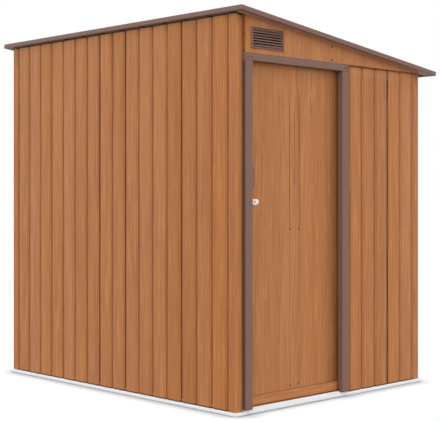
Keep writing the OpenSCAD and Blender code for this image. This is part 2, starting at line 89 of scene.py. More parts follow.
def reach(node, space):
    inside = space.inverted()
    points = [inside @ v.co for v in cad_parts[node].data.vertices]
    return [Vector([pick(p[k] for p in points) for k in range(3)]) for pick in (min, max)]


# camera

shot = {
    "stand": (-3.6502, -3.6829, 1.0338),   # from the foot of the near corner, in metres
    "heading": 43.951,                     # degrees right of square-on to the door side
    "lens": 91.86,
    "sensor": 36,
    "drop": 0.04128,                       # lens shift that keeps the uprights upright
}


def placeCamera():
    eye = bpy.data.cameras.new("camera")
    eye.lens, eye.sensor_width = shot["lens"], shot["sensor"]
    eye.shift_y = -shot["drop"]
    stand = bpy.data.objects.new("camera", eye)
    stand.location = Vector((leftFace, frontFace, 0)) + Vector(shot["stand"])
    stand.rotation_euler = (math.radians(90), 0, math.radians(-shot["heading"]))
    scene.collection.objects.link(stand)
    scene.camera = stand


placeCamera()
scene.view_settings.view_transform = "Standard"


# building blocks for node trees

def srgb(red, green, blue):
    def linear(c):
        c = c / 255
        return c / 12.92 if c <= 0.04045 else ((c + 0.055) / 1.055) ** 2.4
    return (linear(red), linear(green), linear(blue), 1.0)


def plug(socket, value):
    value = value.outputs[0] if isinstance(value, bpy.types.Node) else value
    if isinstance(value, bpy.types.NodeSocket):
        socket.id_data.links.new(value, socket)
    else:
        socket.default_value = value


def add(tree, kind, plugs=None, **settings):
    made = tree.nodes.new(kind)
    spot = len(tree.nodes)
    made.location = (190 * (spot % 16), -260 * (spot // 16))
    for key, value in settings.items():
        setattr(made, key, value)
    for key, value in (plugs or {}).items():
        plug(made.inputs[key], value)
    return made


def calc(how, *terms):
    tree = next(term for term in terms if isinstance(term, bpy.types.NodeSocket)).id_data
    return add(tree, "ShaderNodeMath", dict(enumerate(terms)), operation=how).outputs[0]


plus, minus, times, over = (partial(calc, how) for how in ("ADD", "SUBTRACT", "MULTIPLY", "DIVIDE"))
sizeOf, smaller, larger = (partial(calc, how) for how in ("ABSOLUTE", "MINIMUM", "MAXIMUM"))


def sway(value, amount):     # a noise of 0 to 1, swung about nought
    return times(minus(value, 0.5), amount)


def between(value, start, end, least=0.0, most=1.0, kind="SMOOTHSTEP"):
    plugs = {"Value": value, "From Min": start, "From Max": end, "To Min": least, "To Max": most}
    return add(value.id_data, "ShaderNodeMapRange", plugs, interpolation_type=kind).outputs[0]


def vector(tree, x=0.0, y=0.0, z=0.0):
    return add(tree, "ShaderNodeCombineXYZ", {"X": x, "Y": y, "Z": z}).outputs[0]


def blendColor(amount, first, second, how="MIX"):
    plugs = {0: amount, 6: first, 7: second}
    return add(amount.id_data, "ShaderNodeMix", plugs, data_type="RGBA", blend_type=how).outputs[2]


def noise(where, scale, detail=2.0, rough=0.5):
    plugs = {"Vector": where, "Scale": scale, "Detail": detail, "Roughness": rough}
    return add(where.id_data, "ShaderNodeTexNoise", plugs).outputs[0]


def shaded(tree, tone, **changes):
    plugs = {label.capitalize(): value for label, value in changes.items()}
    return add(tree, "ShaderNodeHueSaturation", {**plugs, "Color": tone}).outputs[0]


socketKinds = {
    "number": "NodeSocketFloat", "count": "NodeSocketInt", "vector": "NodeSocketVector",
    "color": "NodeSocketColor", "look": "NodeSocketMaterial", "shape": "NodeSocketGeometry",
}


def openGroup(name, kind, inputs, outputs):
    # an input is given by its kind, or by the number it starts from
    tree = bpy.data.node_groups.new(name, kind)
    for label, value in inputs.items():
        sort = value if isinstance(value, str) else "count" if isinstance(value, int) else "number"
        socket = tree.interface.new_socket(label, in_out="INPUT", socket_type=socketKinds[sort])
        if sort != value:
            socket.default_value = value
    for label, sort in outputs.items():
        tree.interface.new_socket(label, in_out="OUTPUT", socket_type=socketKinds[sort])
    return tree, tree.nodes.new("NodeGroupInput").outputs, tree.nodes.new("NodeGroupOutput").inputs


def closeGroup(tree, out, values):
    for label, value in values.items():
        plug(out[label], value)
    return tree


def useGroup(tree, group, plugs):
    return add(tree, "ShaderNodeGroup", plugs, node_tree=group).outputs


# shared finishes

finish = {"Color": "color", "Relief": "number", "Roughness": "number"}


def woodFilmGroup():
    layers = {               # waves a metre across and up, detail, and a shift of its own
        "bands": (17, 0.5, 1.0, 0.0), "middle": (220, 3.0, 2.0, 4.7), "fine": (520, 5.0, 2.0, 9.1),
        "patches": (60, 5.0, 2.0, 31.3), "dashes": (300, 12, 1.0, 14.2), "places": (20, 1.4, 1.0, 21.5),
    }
    tree, ins, out = openGroup("woodFilm", "ShaderNodeTree", {
        "Along": 0.0, "Up": 0.0, "Board": 0.0, "Seed": 0.0,
        "Body": "color", "Pale": "color", "Deep": "color", "Streak": "color",
        "Board Spread": 1.0, "Streaks": 0.6, "Contrast": 1.0,
    }, finish)
    own = plus(times(ins["Board"], 7.31), ins["Seed"])
    chance = add(tree, "ShaderNodeTexWhiteNoise", {"Vector": vector(tree, ins["Board"], ins["Seed"], 3.0)})
    chances = add(tree, "ShaderNodeSeparateColor", {"Color": chance.outputs["Color"]}).outputs
    # the grain wanders a little as it climbs
    wander = noise(vector(tree, times(ins["Along"], 4.0), own, times(ins["Up"], 1.1)), 1.0, 1.0)
    across = plus(ins["Along"], sway(wander, 0.05))

    def grain(layer):
        wide, tall, detail, shift = layers[layer]
        where = vector(tree, times(across, wide), plus(own, shift), times(ins["Up"], tall))
        return noise(where, 1.0, detail, 0.55)

    middle, fine = grain("middle"), grain("fine")
    mixed = plus(plus(times(grain("bands"), 0.20), times(middle, 0.50)), times(fine, 0.30))
    lean = times(minus(mixed, 0.5), ins["Contrast"])
    tone = blendColor(between(lean, -0.02, -0.14), ins["Body"], ins["Deep"])
    tone = blendColor(between(lean, 0.02, 0.14), tone, ins["Pale"])
    # soft golden patches
    gold = times(between(grain("patches"), 0.54, 0.70), times(ins["Contrast"], 0.55))
    tone = blendColor(gold, tone, ins["Pale"])
    # each board leans to pink or to gold, and is a little lighter or darker
    turn, level = sway(chances[0], ins["Board Spread"]), sway(chances[1], ins["Board Spread"])
    tinted = shaded(tree, tone, hue=plus(0.5, times(turn, 0.0022)),
                    saturation=plus(1.0, times(turn, 0.05)), value=plus(1.0, times(level, 0.10)))
    # short dark streaks, here and there
    dashes, places = between(grain("dashes"), 0.62, 0.74), between(grain("places"), 0.50, 0.68)
    marks = times(times(dashes, places), ins["Streaks"])
    return closeGroup(tree, out, {
        "Color": blendColor(marks, tinted, ins["Streak"]),
        "Relief": minus(plus(fine, times(middle, 0.5)), marks),
        "Roughness": between(mixed, 0.35, 0.65, 0.56, 0.48)})


def grooveMarksGroup():
    tree, ins, out = openGroup("grooveMarks", "ShaderNodeTree", {
        "Along": 0.0, "First": 0.0, "Pitch": 0.1075, "Width": 0.021,
        "Line Shift": 0.0012, "Line Half Width": 0.0045, "Lip Shift": 0.0,
    }, {"Board": "number", "Line": "number", "Lip": "number", "Flank": "number"})
    place = over(minus(ins["Along"], ins["First"]), ins["Pitch"])
    share = minus(calc("FRACT", plus(place, 0.5)), 0.5)
    away = times(share, ins["Pitch"])
    halfWidth = times(ins["Width"], 0.5)
    line = sizeOf(minus(away, ins["Line Shift"]))
    # painted shade along the two rounded lips, the far one the darker
    lip = sizeOf(minus(sizeOf(minus(away, ins["Lip Shift"])), plus(halfWidth, 0.001)))
    farther = between(away, 0.0, 0.001, 0.5, 1.0)
    return closeGroup(tree, out, {
        "Board": calc("FLOOR", place),
        # painted shade: a dark line where the groove's floor lies in shade
        "Line": between(line, ins["Line Half Width"], times(ins["Line Half Width"], 0.35)),
        "Lip": times(between(lip, 0.0030, 0.0008), farther),
        # painted highlight on the slope between the line and the far lip
        "Flank": times(between(away, 0.004, 0.006), calc("LESS_THAN", away, halfWidth))})


# thin dark lines: print joints, and also painted shade lines where they stand for shade
def printAndShadeLineGroup():
    tree, ins, out = openGroup("printAndShadeLine", "ShaderNodeTree", {
        "Along": 0.0, "Up": 0.0, "At": 0.0, "Half Width": 0.004, "Broken": 0.3, "Seed": 0.0,
        "Top": farOff, "Faint Below": -farOff,
    }, {"Mask": "number"})
    away = sizeOf(minus(ins["Along"], ins["At"]))
    line = between(away, ins["Half Width"], times(ins["Half Width"], 0.5))
    patches = noise(vector(tree, 0.0, ins["Seed"], times(ins["Up"], 5.0)), 1.0, 3.0, 0.6)
    kept = minus(1.0, times(minus(1.0, between(patches, 0.36, 0.56)), ins["Broken"]))
    kept = times(kept, between(ins["Up"], ins["Top"], minus(ins["Top"], 0.09)))
    kept = times(kept, between(ins["Up"], ins["Faint Below"], plus(ins["Faint Below"], 0.03), 0.4, 1.0))
    return closeGroup(tree, out, {"Mask": times(line, kept)})


def coatGroup():
    tree, ins, out = openGroup("powderCoat", "ShaderNodeTree", {
        "Position": "vector", "Tone": "color", "Drift": 0.05, "Speckle": 0.06, "Roughness": 0.5,
    }, finish)
    clouds = noise(ins["Position"], 3.2, 3.0, 0.55)
    flecks = noise(ins["Position"], 620.0, 1.0, 0.5)
    value = plus(plus(1.0, sway(clouds, ins["Drift"])), sway(flecks, ins["Speckle"]))
    return closeGroup(tree, out, {
        "Color": shaded(tree, ins["Tone"], value=value),
        "Relief": noise(ins["Position"], 950.0, 1.0, 0.5),
        "Roughness": plus(ins["Roughness"], sway(clouds, 0.16))})


def spangleGroup():
    tree, ins, out = openGroup("zincSpangle", "ShaderNodeTree", {
        "Position": "vector", "Tone": "color", "Flake Size": 90.0, "Contrast": 0.16,
    }, finish)
    flakes = add(tree, "ShaderNodeTexVoronoi", {
        "Vector": ins["Position"], "Scale": ins["Flake Size"]}).outputs
    shade = add(tree, "ShaderNodeSeparateColor", {"Color": flakes["Color"]}).outputs[0]
    clouds = noise(ins["Position"], 9.0, 3.0, 0.6)
    value = times(plus(1.0, sway(shade, ins["Contrast"])), between(clouds, 0.2, 0.8, 0.94, 1.05, "LINEAR"))
    return closeGroup(tree, out, {
        "Color": shaded(tree, ins["Tone"], value=value),
        "Relief": flakes["Distance"],
        "Roughness": between(shade, 0.0, 1.0, 0.34, 0.52, "LINEAR")})


woodFilm, grooveMarks, printAndShadeLine = woodFilmGroup(), grooveMarksGroup(), printAndShadeLineGroup()
powderCoat, zincSpangle = coatGroup(), spangleGroup()
print("shared finishes built")


# materials

looks = {}


def startLook(name):
    look = bpy.data.materials.new(name)
    look.use_nodes = True
    tree = look.node_tree
    tree.nodes.clear()
    shader = add(tree, "ShaderNodeBsdfPrincipled", {"Specular IOR Level": 0.32})
    add(tree, "ShaderNodeOutputMaterial", {"Surface": shader})
    looks[name] = look
    return tree, shader.inputs, add(tree, "ShaderNodeTexCoord").outputs["Object"]


def finishLook(tree, shader, color, made, bump, depth):
    plug(shader["Base Color"], color)
    plug(shader["Roughness"], made["Roughness"])
    plug(shader["Normal"], add(tree, "ShaderNodeBump", {
        "Strength": bump, "Distance": depth, "Height": made["Relief"]}))


film = {
    "body": srgb(177, 113, 64),
    "pale": srgb(192, 127, 73),
    "deep": srgb(164, 101, 54),
    "streak": srgb(104, 62, 36),
    # colours of the painted shade in the grooves and of the painted light on their flanks and under the gable
    "grooveShadeTone": srgb(112, 56, 20),
    "paintedLightTone": srgb(232, 162, 104),
    # dark tone of the print joints, and of the painted shade lines as well
    "jointAndShadeTone": srgb(76, 40, 14),
    "paintedEdgeShade": (0.50, 0.44, 0.26, 1.0),
    "lipShade": 0.50,
    "shadeLineSpan": (-2 * mm, 0, 8 * mm, 6 * mm),    # where a thin painted shade line starts and ends
    "relief": (0.12, 0.4 * mm),
}
groovePitch = 107.5 * mm
plain = {"first": 0.0, "pitch": groovePitch, "line": 0.0, "lip": 0.0}


def printedSteel(name, across, start, seed, grooves=None, joints=(), spread=1.0, streaks=0.5, contrast=1.35,
                 shade=None, shadeLines=(), limits=(farOff, -farOff), lift=None):
    tree, shader, where = startLook(name)
    xyz = add(tree, "ShaderNodeSeparateXYZ", {"Vector": where}).outputs
    up = xyz["X"] if across == "Z" else xyz["Z"]
    along = minus(xyz[across], start)
    spacing = grooves or plain
    marks = useGroup(tree, grooveMarks, {
        "Along": along, "First": spacing["first"], "Pitch": spacing["pitch"],
        "Line Shift": spacing["line"], "Lip Shift": spacing["lip"]})
    wood = useGroup(tree, woodFilm, {
        "Along": along, "Up": up, "Board": marks["Board"], "Seed": seed, "Body": film["body"],
        "Pale": film["pale"], "Deep": film["deep"], "Streak": film["streak"],
        "Board Spread": spread, "Streaks": streaks, "Contrast": contrast})
    color = wood["Color"]
    # painted highlight on each groove's flank, then painted shade on its lips and along its floor
    if grooves:
        for mark, strength, tone in (("Flank", grooves["flank"], "paintedLightTone"),
                                     ("Lip", film["lipShade"], "grooveShadeTone"),
                                     ("Line", grooves["shade"], "grooveShadeTone")):
            color = blendColor(times(marks[mark], strength), color, film[tone])
    for at, half, broken, strength in joints:
        line = useGroup(tree, printAndShadeLine, {
            "Along": along, "Up": up, "At": at, "Half Width": half, "Broken": broken,
            "Seed": seed + at * 9, "Top": limits[0], "Faint Below": limits[1]})
        color = blendColor(times(line["Mask"], strength), color, film["jointAndShadeTone"])
    if lift:                     # painted light: the colour pales towards the sheet's head, against the shade under the gable; two heights and a strength
        paintedLightAmount = between(xyz["Z"], lift[0], lift[1], 0.0, lift[2], "LINEAR")
        color = blendColor(paintedLightAmount, color, film["paintedLightTone"])
    for height, strength in shadeLines:          # painted shade: thin dark lines along the sheet's foot or head
        a, b, c, d = (height + shift for shift in film["shadeLineSpan"])
        dark = times(between(xyz["Z"], a, b), between(xyz["Z"], c, d, 0.0, strength))
        color = blendColor(dark, color, film["jointAndShadeTone"])
    if shade:                    # painted shade: the colour darkens towards an edge
        paintedShadeAmount = between(along, shade[0], shade[1], 0.0, shade[2])
        color = blendColor(paintedShadeAmount, color, film["paintedEdgeShade"], "MULTIPLY")
    finishLook(tree, shader, color, wood, *film["relief"])


def coated(name, tone, roughness, drift=0.05, speckle=0.06):
    tree, shader, where = startLook(name)
    coat = useGroup(tree, powderCoat, {
        "Position": where, "Tone": tone, "Drift": drift, "Speckle": speckle, "Roughness": roughness})
    finishLook(tree, shader, coat["Color"], coat, 0.08, 0.2 * mm)


def zincCoated(name, tone, metallic, contrast):
    tree, shader, where = startLook(name)
    shader["Metallic"].default_value = metallic
    coat = useGroup(tree, zincSpangle, {"Position": where, "Tone": tone, "Contrast": contrast})
    finishLook(tree, shader, coat["Color"], coat, 0.05, 0.2 * mm)


sideGrooves = {
    "pitch": groovePitch, "count": 17, "width": 21 * mm, "floor": 9 * mm, "depth": 9 * mm,
    "line": 5.2 * mm, "lip": 2.5 * mm, "shade": 0.46, "flank": 0.14,          # painted shade and highlight in each groove
    "jointIn": -1.2 * mm, "jointHalf": 4.0 * mm, "jointShade": 0.72,          # the few darker grooves
}
sideGrooves["first"] = (wallLength - (sideGrooves["count"] - 1) * groovePitch) / 2
backGrooves = {**sideGrooves, "count": 13}
backGrooves["first"] = (wallWidth - (backGrooves["count"] - 1) * groovePitch) / 2
doorSideGrooves = {
    **sideGrooves, "count": 6, "line": 1.4 * mm, "lip": 1.5 * mm, "shade": 1.0, "flank": 0.12,
    "jointIn": 2.0 * mm, "jointHalf": 5.8 * mm, "jointShade": 0.97, "fromCorner": 58 * mm,
}
doorSideGrooves["first"] = (wallWidth - doorSideGrooves["fromCorner"]
                            - (doorSideGrooves["count"] - 1) * groovePitch)


def darkGrooves(grooves, numbers):
    return [(grooves["first"] + k * groovePitch + grooves["line"] + grooves["jointIn"],
             grooves["jointHalf"], 0.25, grooves["jointShade"]) for k in numbers]


def printWalls():
    foot = (low("left_wall_front").z, 0.85)               # height and strength of a painted shadow line along the walls' foot
    # a painted shadow line on the front panel under the gable's edge
    shadowUnderGable = (low("front_gable").z - 6 * mm, 0.4)
    jambEdge = high("jamb_right").x - leftFace
    # two painted shade lines on the front panel beside the right jamb
    shadeBesideJamb = [(jambEdge + 1 * mm, 4 * mm, 0.1, 0.6), (jambEdge + 19 * mm, 4 * mm, 0.1, 0.35)]
    printedSteel("leftPrint", "Y", frontFace, 1.7, sideGrooves, darkGrooves(sideGrooves, (3, 7, 9)),
                 shadeLines=[foot])
    printedSteel("rightPrint", "Y", frontFace, 5.3, sideGrooves, darkGrooves(sideGrooves, (4, 12)),
                 shadeLines=[foot])
    printedSteel("backPrint", "X", leftFace, 8.9, backGrooves, darkGrooves(backGrooves, (2, 9)),
                 shadeLines=[foot])
    printedSteel("frontPrint", "X", leftFace, 3.1, doorSideGrooves,
                 darkGrooves(doorSideGrooves, (3,)) + shadeBesideJamb, shadeLines=[foot, shadowUnderGable],
                 lift=(shadowUnderGable[0] - 60 * mm, shadowUnderGable[0], 0.3))
    printedSteel("gablePrint", "X", leftFace, 6.4, spread=0.4, streaks=0.3)
    # the gable's and the posts' side faces, darkened with painted shade
    printedSteel("gableSideShadedPrint", "Y", frontFace - 1.0, 6.4, spread=0.0, streaks=0.1,
                 shade=(-1.0, -0.5, 0.82))
    printedSteel("postSideShadedPrint", "Y", frontFace, 2.2, spread=0.5, shade=(-1.0, -0.5, 0.14))


def printDoor():
    size = {"line": 3.4 * mm, "shadeFrom": 610 * mm, "shadeTo": 745 * mm, "top": 1530 * mm, "faint": 850 * mm}
    # dark lines on the door; the two over the pressed creases are painted shade in them
    joints = [(at * mm, size["line"], broken, strength)
              for at, broken, strength in ((390, 0.3, 0.75), (459, 0.3, 0.8), (424, 1.0, 0.75))]
    # painted shade darkens the door towards its right edge by the jamb, and a painted shade line runs above
    # the foot rail
    printedSteel("doorPrint", "X", leftFace, 9.7, joints=joints, spread=0.35, streaks=0.8, contrast=1.4,
                 shade=(size["shadeFrom"], size["shadeTo"], 0.74), limits=(size["top"], size["faint"]),
                 shadeLines=[(high("door_foot_rail").z - 3 * mm, 0.5)])
    # a painted shade line along the foot rail's lower edge
    printedSteel("railPrint", "Z", 0.0, 4.4, spread=0.0, streaks=0.2,
                 shadeLines=[(low("door_foot_rail").z, 0.6)])


coats = {                    # colour, roughness, and for some how far the colour drifts and speckles
    "trimCoat": ((126, 93, 80), 0.48),
    "roofCoat": ((124, 94, 81), 0.50),
    # the roof sheets' underside coat, made paler as painted light on the shaded underside
    "soffitLitCoat": ((158, 138, 126), 0.6),
    "backCoat": ((196, 190, 178), 0.55, 0.06),
    "whiteCoat": ((236, 238, 240), 0.42, 0.03, 0.03),
    "nylon": ((38, 38, 39), 0.6, 0.1),
    "capCoat": ((150, 98, 62), 0.5),
    "darkScrew": ((36, 20, 14), 0.45),
    "trimScrew": ((84, 52, 38), 0.45),
    # a paler copy of the trim brown, painted light on the handle in the door's shaded recess
    "handleLitCoat": ((146, 108, 93), 0.5),
    # a dark coat on the top rails, painted shade under the eaves
    "railShadedCoat": ((70, 62, 58), 0.6),
    "shadeCoat": ((118, 76, 62), 0.6),
    # a paler copy of the trim brown, painted light on the shaded underside of the gable trims
    "undersideLitCoat": ((188, 141, 118), 0.55),
    # a darker copy of the trim coat, painted shade on the jambs' outer returns
    "returnShadedCoat": ((91, 66, 55), 0.5),
}
printWalls()
printDoor()
for name, (tone, *rest) in coats.items():
    coated(name, srgb(*tone), *rest)
zincCoated("zincCoat", srgb(196, 199, 203), 0.75, 0.16)
# the lock's zinc painted near white and without metal, a painted reflection of the white studio
zincCoated("zincPaintedReflection", srgb(248, 248, 249), 0.0, 0.05)
print("materials built:", len(looks))


# turning outlines and sheets into pieces

def skinPoints(line, bend, thick):
    # the outer line with its corners rounded, each point with the way to the sheet's other face
    points = []
    for i, spot in enumerate(line):
        here = Vector(spot)
        into = (here - Vector(line[i - 1])).normalized() if i > 0 else None
        out = (Vector(line[i + 1]) - here).normalized() if i < len(line) - 1 else None
        way = into or out
        side = Vector((-way.y, way.x))
        turn = math.atan2(into.x * out.y - into.y * out.x, into.dot(out)) if into and out else 0
        if abs(turn) < 0.02:
            points.append((here, side))
            continue
        sign = 1 if turn > 0 else -1
        radius = bend + (thick if turn > 0 else 0)
        middle = here - into * radius * math.tan(abs(turn) / 2) + side * radius * sign
        steps = max(2, round(abs(turn) / math.radians(18)))
        for k in range(steps + 1):
            facing = Matrix.Rotation(turn * k / steps, 2) @ side
            points.append((middle - facing * radius * sign, facing))
    return points


def rolled(line, run, space, bend=1.2 * mm, thick=sheet, cut=(0, 0), stops=(), dent=None, mitre=0):
    # a strip of sheet bent to a line and run from end to end, with ends that may be mitred
    skin = skinPoints(line, bend, thick)
    outer = min(p[mitre] for p, _ in skin)
    stations = [run[0], *stops, run[1]]
    last = len(stations) - 1
    slants = {0: cut[0], last: -cut[1]}
    verts, faces = [], []
    for n, w in enumerate(stations):
        for p, side in skin:
            push = dent(p.x, w) if dent else 0
            for depth in (push, push + thick):
                q = p + side * depth
                verts.append(space @ Vector((q.x, q.y, w + slants.get(n, 0) * (q[mitre] - outer))))

    def at(n, i, face):
        return (n * len(skin) + i) * 2 + face

    for n in range(last):
        for i in range(len(skin) - 1):
            faces.append(((at(n, i, 0), at(n, i + 1, 0), at(n + 1, i + 1, 0), at(n + 1, i, 0)), 0))
            faces.append(((at(n, i, 1), at(n + 1, i, 1), at(n + 1, i + 1, 1), at(n, i + 1, 1)), 1))
        for i in (0, len(skin) - 1):
            faces.append(((at(n, i, 0), at(n + 1, i, 0), at(n + 1, i, 1), at(n, i, 1)), 0))
    for n in (0, last):
        for i in range(len(skin) - 1):
            faces.append(((at(n, i, 0), at(n, i, 1), at(n, i + 1, 1), at(n, i + 1, 0)), 0))
    return verts, faces


def boxCorners(lowest, highest, space):
    return [space @ Vector((x, y, z)) for x in (lowest[0], highest[0])
            for y in (lowest[1], highest[1]) for z in (lowest[2], highest[2])]


def flatPlate(lowest, highest, space, mark=0):
    quads = [(0, 1, 3, 2), (4, 6, 7, 5), (0, 4, 5, 1), (2, 3, 7, 6), (0, 2, 6, 4), (1, 5, 7, 3)]
    return boxCorners(lowest, highest, space), [(quad, mark) for quad in quads]


def meshOf(name, parts):
    mesh = bpy.data.meshes.new(name)
    verts, faces, marks = [], [], []
    for partVerts, partFaces in parts:
        faces += [tuple(len(verts) + i for i in face) for face, _ in partFaces]
        marks += [mark for _, mark in partFaces]
        verts += partVerts
    mesh.from_pydata(verts, [], faces)
    mesh.polygons.foreach_set("material_index", marks)
    return mesh


def paint(mesh, choose):     # gives each face the look that is chosen for it
    for face in mesh.polygons:
        face.material_index = choose(face)


def storeShape(shape, mesh):
    shape.to_mesh(mesh)
    shape.free()
    return mesh


def tidyMesh(mesh, sharp=32):
    shape = bmesh.new()
    shape.from_mesh(mesh)
    bmesh.ops.dissolve_degenerate(shape, edges=shape.edges, dist=2e-5)
    bmesh.ops.recalc_face_normals(shape, faces=shape.faces)
    storeShape(shape, mesh)
    mesh.polygons.foreach_set("use_smooth", [True] * len(mesh.polygons))
    mesh.set_sharp_from_angle(angle=math.radians(sharp))
    mesh.update()


def makePiece(name, shape, body, nodes, lookNames=(), soften=0.0):
    # the shape is a mesh, or a list of parts to make one of
    mesh = meshOf(name, shape) if isinstance(shape, list) else shape
    tidyMesh(mesh)
    for lookName in lookNames:
        mesh.materials.append(looks[lookName])
    piece = bpy.data.objects.new(name, mesh)
    scene.collection.objects.link(piece)
    if soften:
        edges = piece.modifiers.new("soften", "BEVEL")
        edges.width = soften
        edges.segments = 2
        edges.limit_method = "ANGLE"
        edges.angle_limit = math.radians(40)
        edges.harden_normals = True
    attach(piece, body)
    if nodes:
        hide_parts(*nodes)
    return piece


def evaluated(carrier):
    graph = bpy.context.evaluated_depsgraph_get()
    return bpy.data.meshes.new_from_object(carrier.evaluated_get(graph), depsgraph=graph)


def cutAway(mesh, lowest, highest, space):
    # takes a box, given by its two corners, out of a closed mesh
    shape = bmesh.new()
    for corner in boxCorners(lowest, highest, space):
        shape.verts.new(corner)
    bmesh.ops.convex_hull(shape, input=shape.verts)
    bmesh.ops.recalc_face_normals(shape, faces=shape.faces)
    host = bpy.data.objects.new("host", mesh)
    cutter = bpy.data.objects.new("cutter", storeShape(shape, bpy.data.meshes.new("block")))
    for thing in (host, cutter):
        scene.collection.objects.link(thing)
    knife = host.modifiers.new("cut", "BOOLEAN")
    knife.operation = "DIFFERENCE"
    knife.object = cutter
    knife.solver = "EXACT"
    result = evaluated(host)
    for thing in (host, cutter):
        bpy.data.objects.remove(thing)
    return result


def softened(name, node, body, lookName, width=0.35 * mm):
    # a copy of a plain construction piece with its edges eased
    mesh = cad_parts[node].data.copy()
    mesh.materials.clear()
    shape = bmesh.new()
    shape.from_mesh(mesh)
    bmesh.ops.remove_doubles(shape, verts=shape.verts, dist=1e-6)
    bmesh.ops.dissolve_limit(shape, angle_limit=math.radians(0.5), verts=shape.verts, edges=shape.edges)
    return makePiece(name, storeShape(shape, mesh), body, [node], [lookName], width)


# growing repeated and rule-shaped parts with Geometry Nodes

def grow(name, tree, values, source=None):
    carrier = bpy.data.objects.new(name, source or bpy.data.meshes.new(name))
    scene.collection.objects.link(carrier)
    growth = carrier.modifiers.new("grow", "NODES")
    growth.node_group = tree
    for item in tree.interface.items_tree:
        if item.item_type == "SOCKET" and item.in_out == "INPUT" and item.name in values:
            growth[item.identifier] = values[item.name]
    mesh = evaluated(carrier)
    bpy.data.objects.remove(carrier)
    return mesh


def placed(mesh, space):
    mesh.transform(space)
    return mesh


def joined(tree, *parts):
    both = add(tree, "GeometryNodeJoinGeometry")
    for part in parts:
        plug(both.inputs[0], part)
    return both


def madeReal(tree, shape, look):     # the end of every growing tree
    real = add(tree, "GeometryNodeRealizeInstances", {"Geometry": shape})
    return add(tree, "GeometryNodeSetMaterial", {"Geometry": real, "Material": look})


def held(value, least, most):
    return smaller(larger(value, least), most)


def pressedSheetTree():
    # a sheet with grooves or ribs at an even pitch: x goes in through it, y up and z along it
    tree, ins, out = openGroup("pressedSheet", "GeometryNodeTree", {
        "Start": 0.0, "End": 0.0, "First": 0.0, "Pitch": 0.1, "Bends": 3, "Width": 0.0, "Floor": 0.0,
        "Depth": 0.0, "Thickness": 0.0, "Softness": 0.6, "Foot": 0.0, "Top At Start": 0.0,
        "Top At End": 0.0, "Top Limit": farOff, "Top Lean": 0.0, "Rows": 8, "Steps": 15,
        "Face": "look", "Back": "look",
    }, {"Sheet": "shape"})
    columns = times(plus(ins["Bends"], 2.0), ins["Steps"])
    grid = add(tree, "GeometryNodeMeshGrid", {
        "Size X": minus(columns, 1.0), "Size Y": ins["Rows"],
        "Vertices X": columns, "Vertices Y": plus(ins["Rows"], 1.0)})
    spot = add(tree, "ShaderNodeSeparateXYZ", {"Vector": add(tree, "GeometryNodeInputPosition")}).outputs
    column = calc("ROUND", plus(spot["X"], times(minus(columns, 1.0), 0.5)))
    number = calc("FLOOR", over(plus(column, 0.25), ins["Steps"]))
    step = minus(column, times(number, ins["Steps"]))
    share = minus(over(step, minus(ins["Steps"], 1.0)), 0.5)
    centre = plus(ins["First"], times(minus(number, 1.0), ins["Pitch"]))
    # the columns crowd into the bends, a little past their width
    along = held(plus(centre, times(share, times(ins["Width"], 1.12))), ins["Start"], ins["End"])
    nearest = calc("ROUND", over(minus(along, ins["First"]), ins["Pitch"]))
    nearest = held(nearest, 0.0, minus(ins["Bends"], 1.0))
    away = sizeOf(minus(along, plus(ins["First"], times(nearest, ins["Pitch"]))))
    halfWidth, halfFloor = times(ins["Width"], 0.5), times(ins["Floor"], 0.5)
    soft = between(away, halfWidth, halfFloor)
    straight = between(away, halfWidth, halfFloor, kind="LINEAR")
    bent = plus(times(soft, ins["Softness"]), times(straight, minus(1.0, ins["Softness"])))
    inward = times(bent, ins["Depth"])
    run = over(minus(along, ins["Start"]), minus(ins["End"], ins["Start"]))
    top = plus(ins["Top At Start"], times(run, minus(ins["Top At End"], ins["Top At Start"])))
    top = smaller(minus(top, times(ins["Top Lean"], inward)), ins["Top Limit"])
    level = plus(over(spot["Y"], ins["Rows"]), 0.5)
    height = plus(ins["Foot"], times(level, minus(top, ins["Foot"])))
    back = add(tree, "GeometryNodeSetPosition", {
        "Geometry": grid, "Position": vector(tree, plus(inward, ins["Thickness"]), height, along)})
    front = add(tree, "GeometryNodeExtrudeMesh", {
        "Mesh": back, "Offset": vector(tree, times(ins["Thickness"], -1.0)),
        "Offset Scale": 1.0, "Individual": False})
    marked = add(tree, "GeometryNodeStoreNamedAttribute", {
        "Geometry": add(tree, "GeometryNodeFlipFaces", {"Mesh": back}),
        "Name": "backFace", "Value": True}, data_type="BOOLEAN", domain="FACE")
    closed = add(tree, "GeometryNodeMergeByDistance", {
        "Geometry": joined(tree, front, marked), "Distance": 0.00002})
    isBack = add(tree, "GeometryNodeInputNamedAttribute", {"Name": "backFace"}, data_type="BOOLEAN")
    return closeGroup(tree, out, {"Sheet": add(tree, "GeometryNodeSetMaterial", {
        "Geometry": madeReal(tree, closed, ins["Face"]), "Selection": isBack, "Material": ins["Back"]})})


def rowTree():
    # copies of one part, set out in an even row
    tree, ins, out = openGroup("evenRow", "GeometryNodeTree", {
        "Part": "shape", "Count": 3, "Step": "vector", "Look": "look"}, {"Row": "shape"})
    spots = add(tree, "GeometryNodeMeshLine", {"Count": ins["Count"], "Offset": ins["Step"]}, mode="OFFSET")
    copies = add(tree, "GeometryNodeInstanceOnPoints", {"Points": spots, "Instance": ins["Part"]})
    return closeGroup(tree, out, {"Row": madeReal(tree, copies, ins["Look"])})


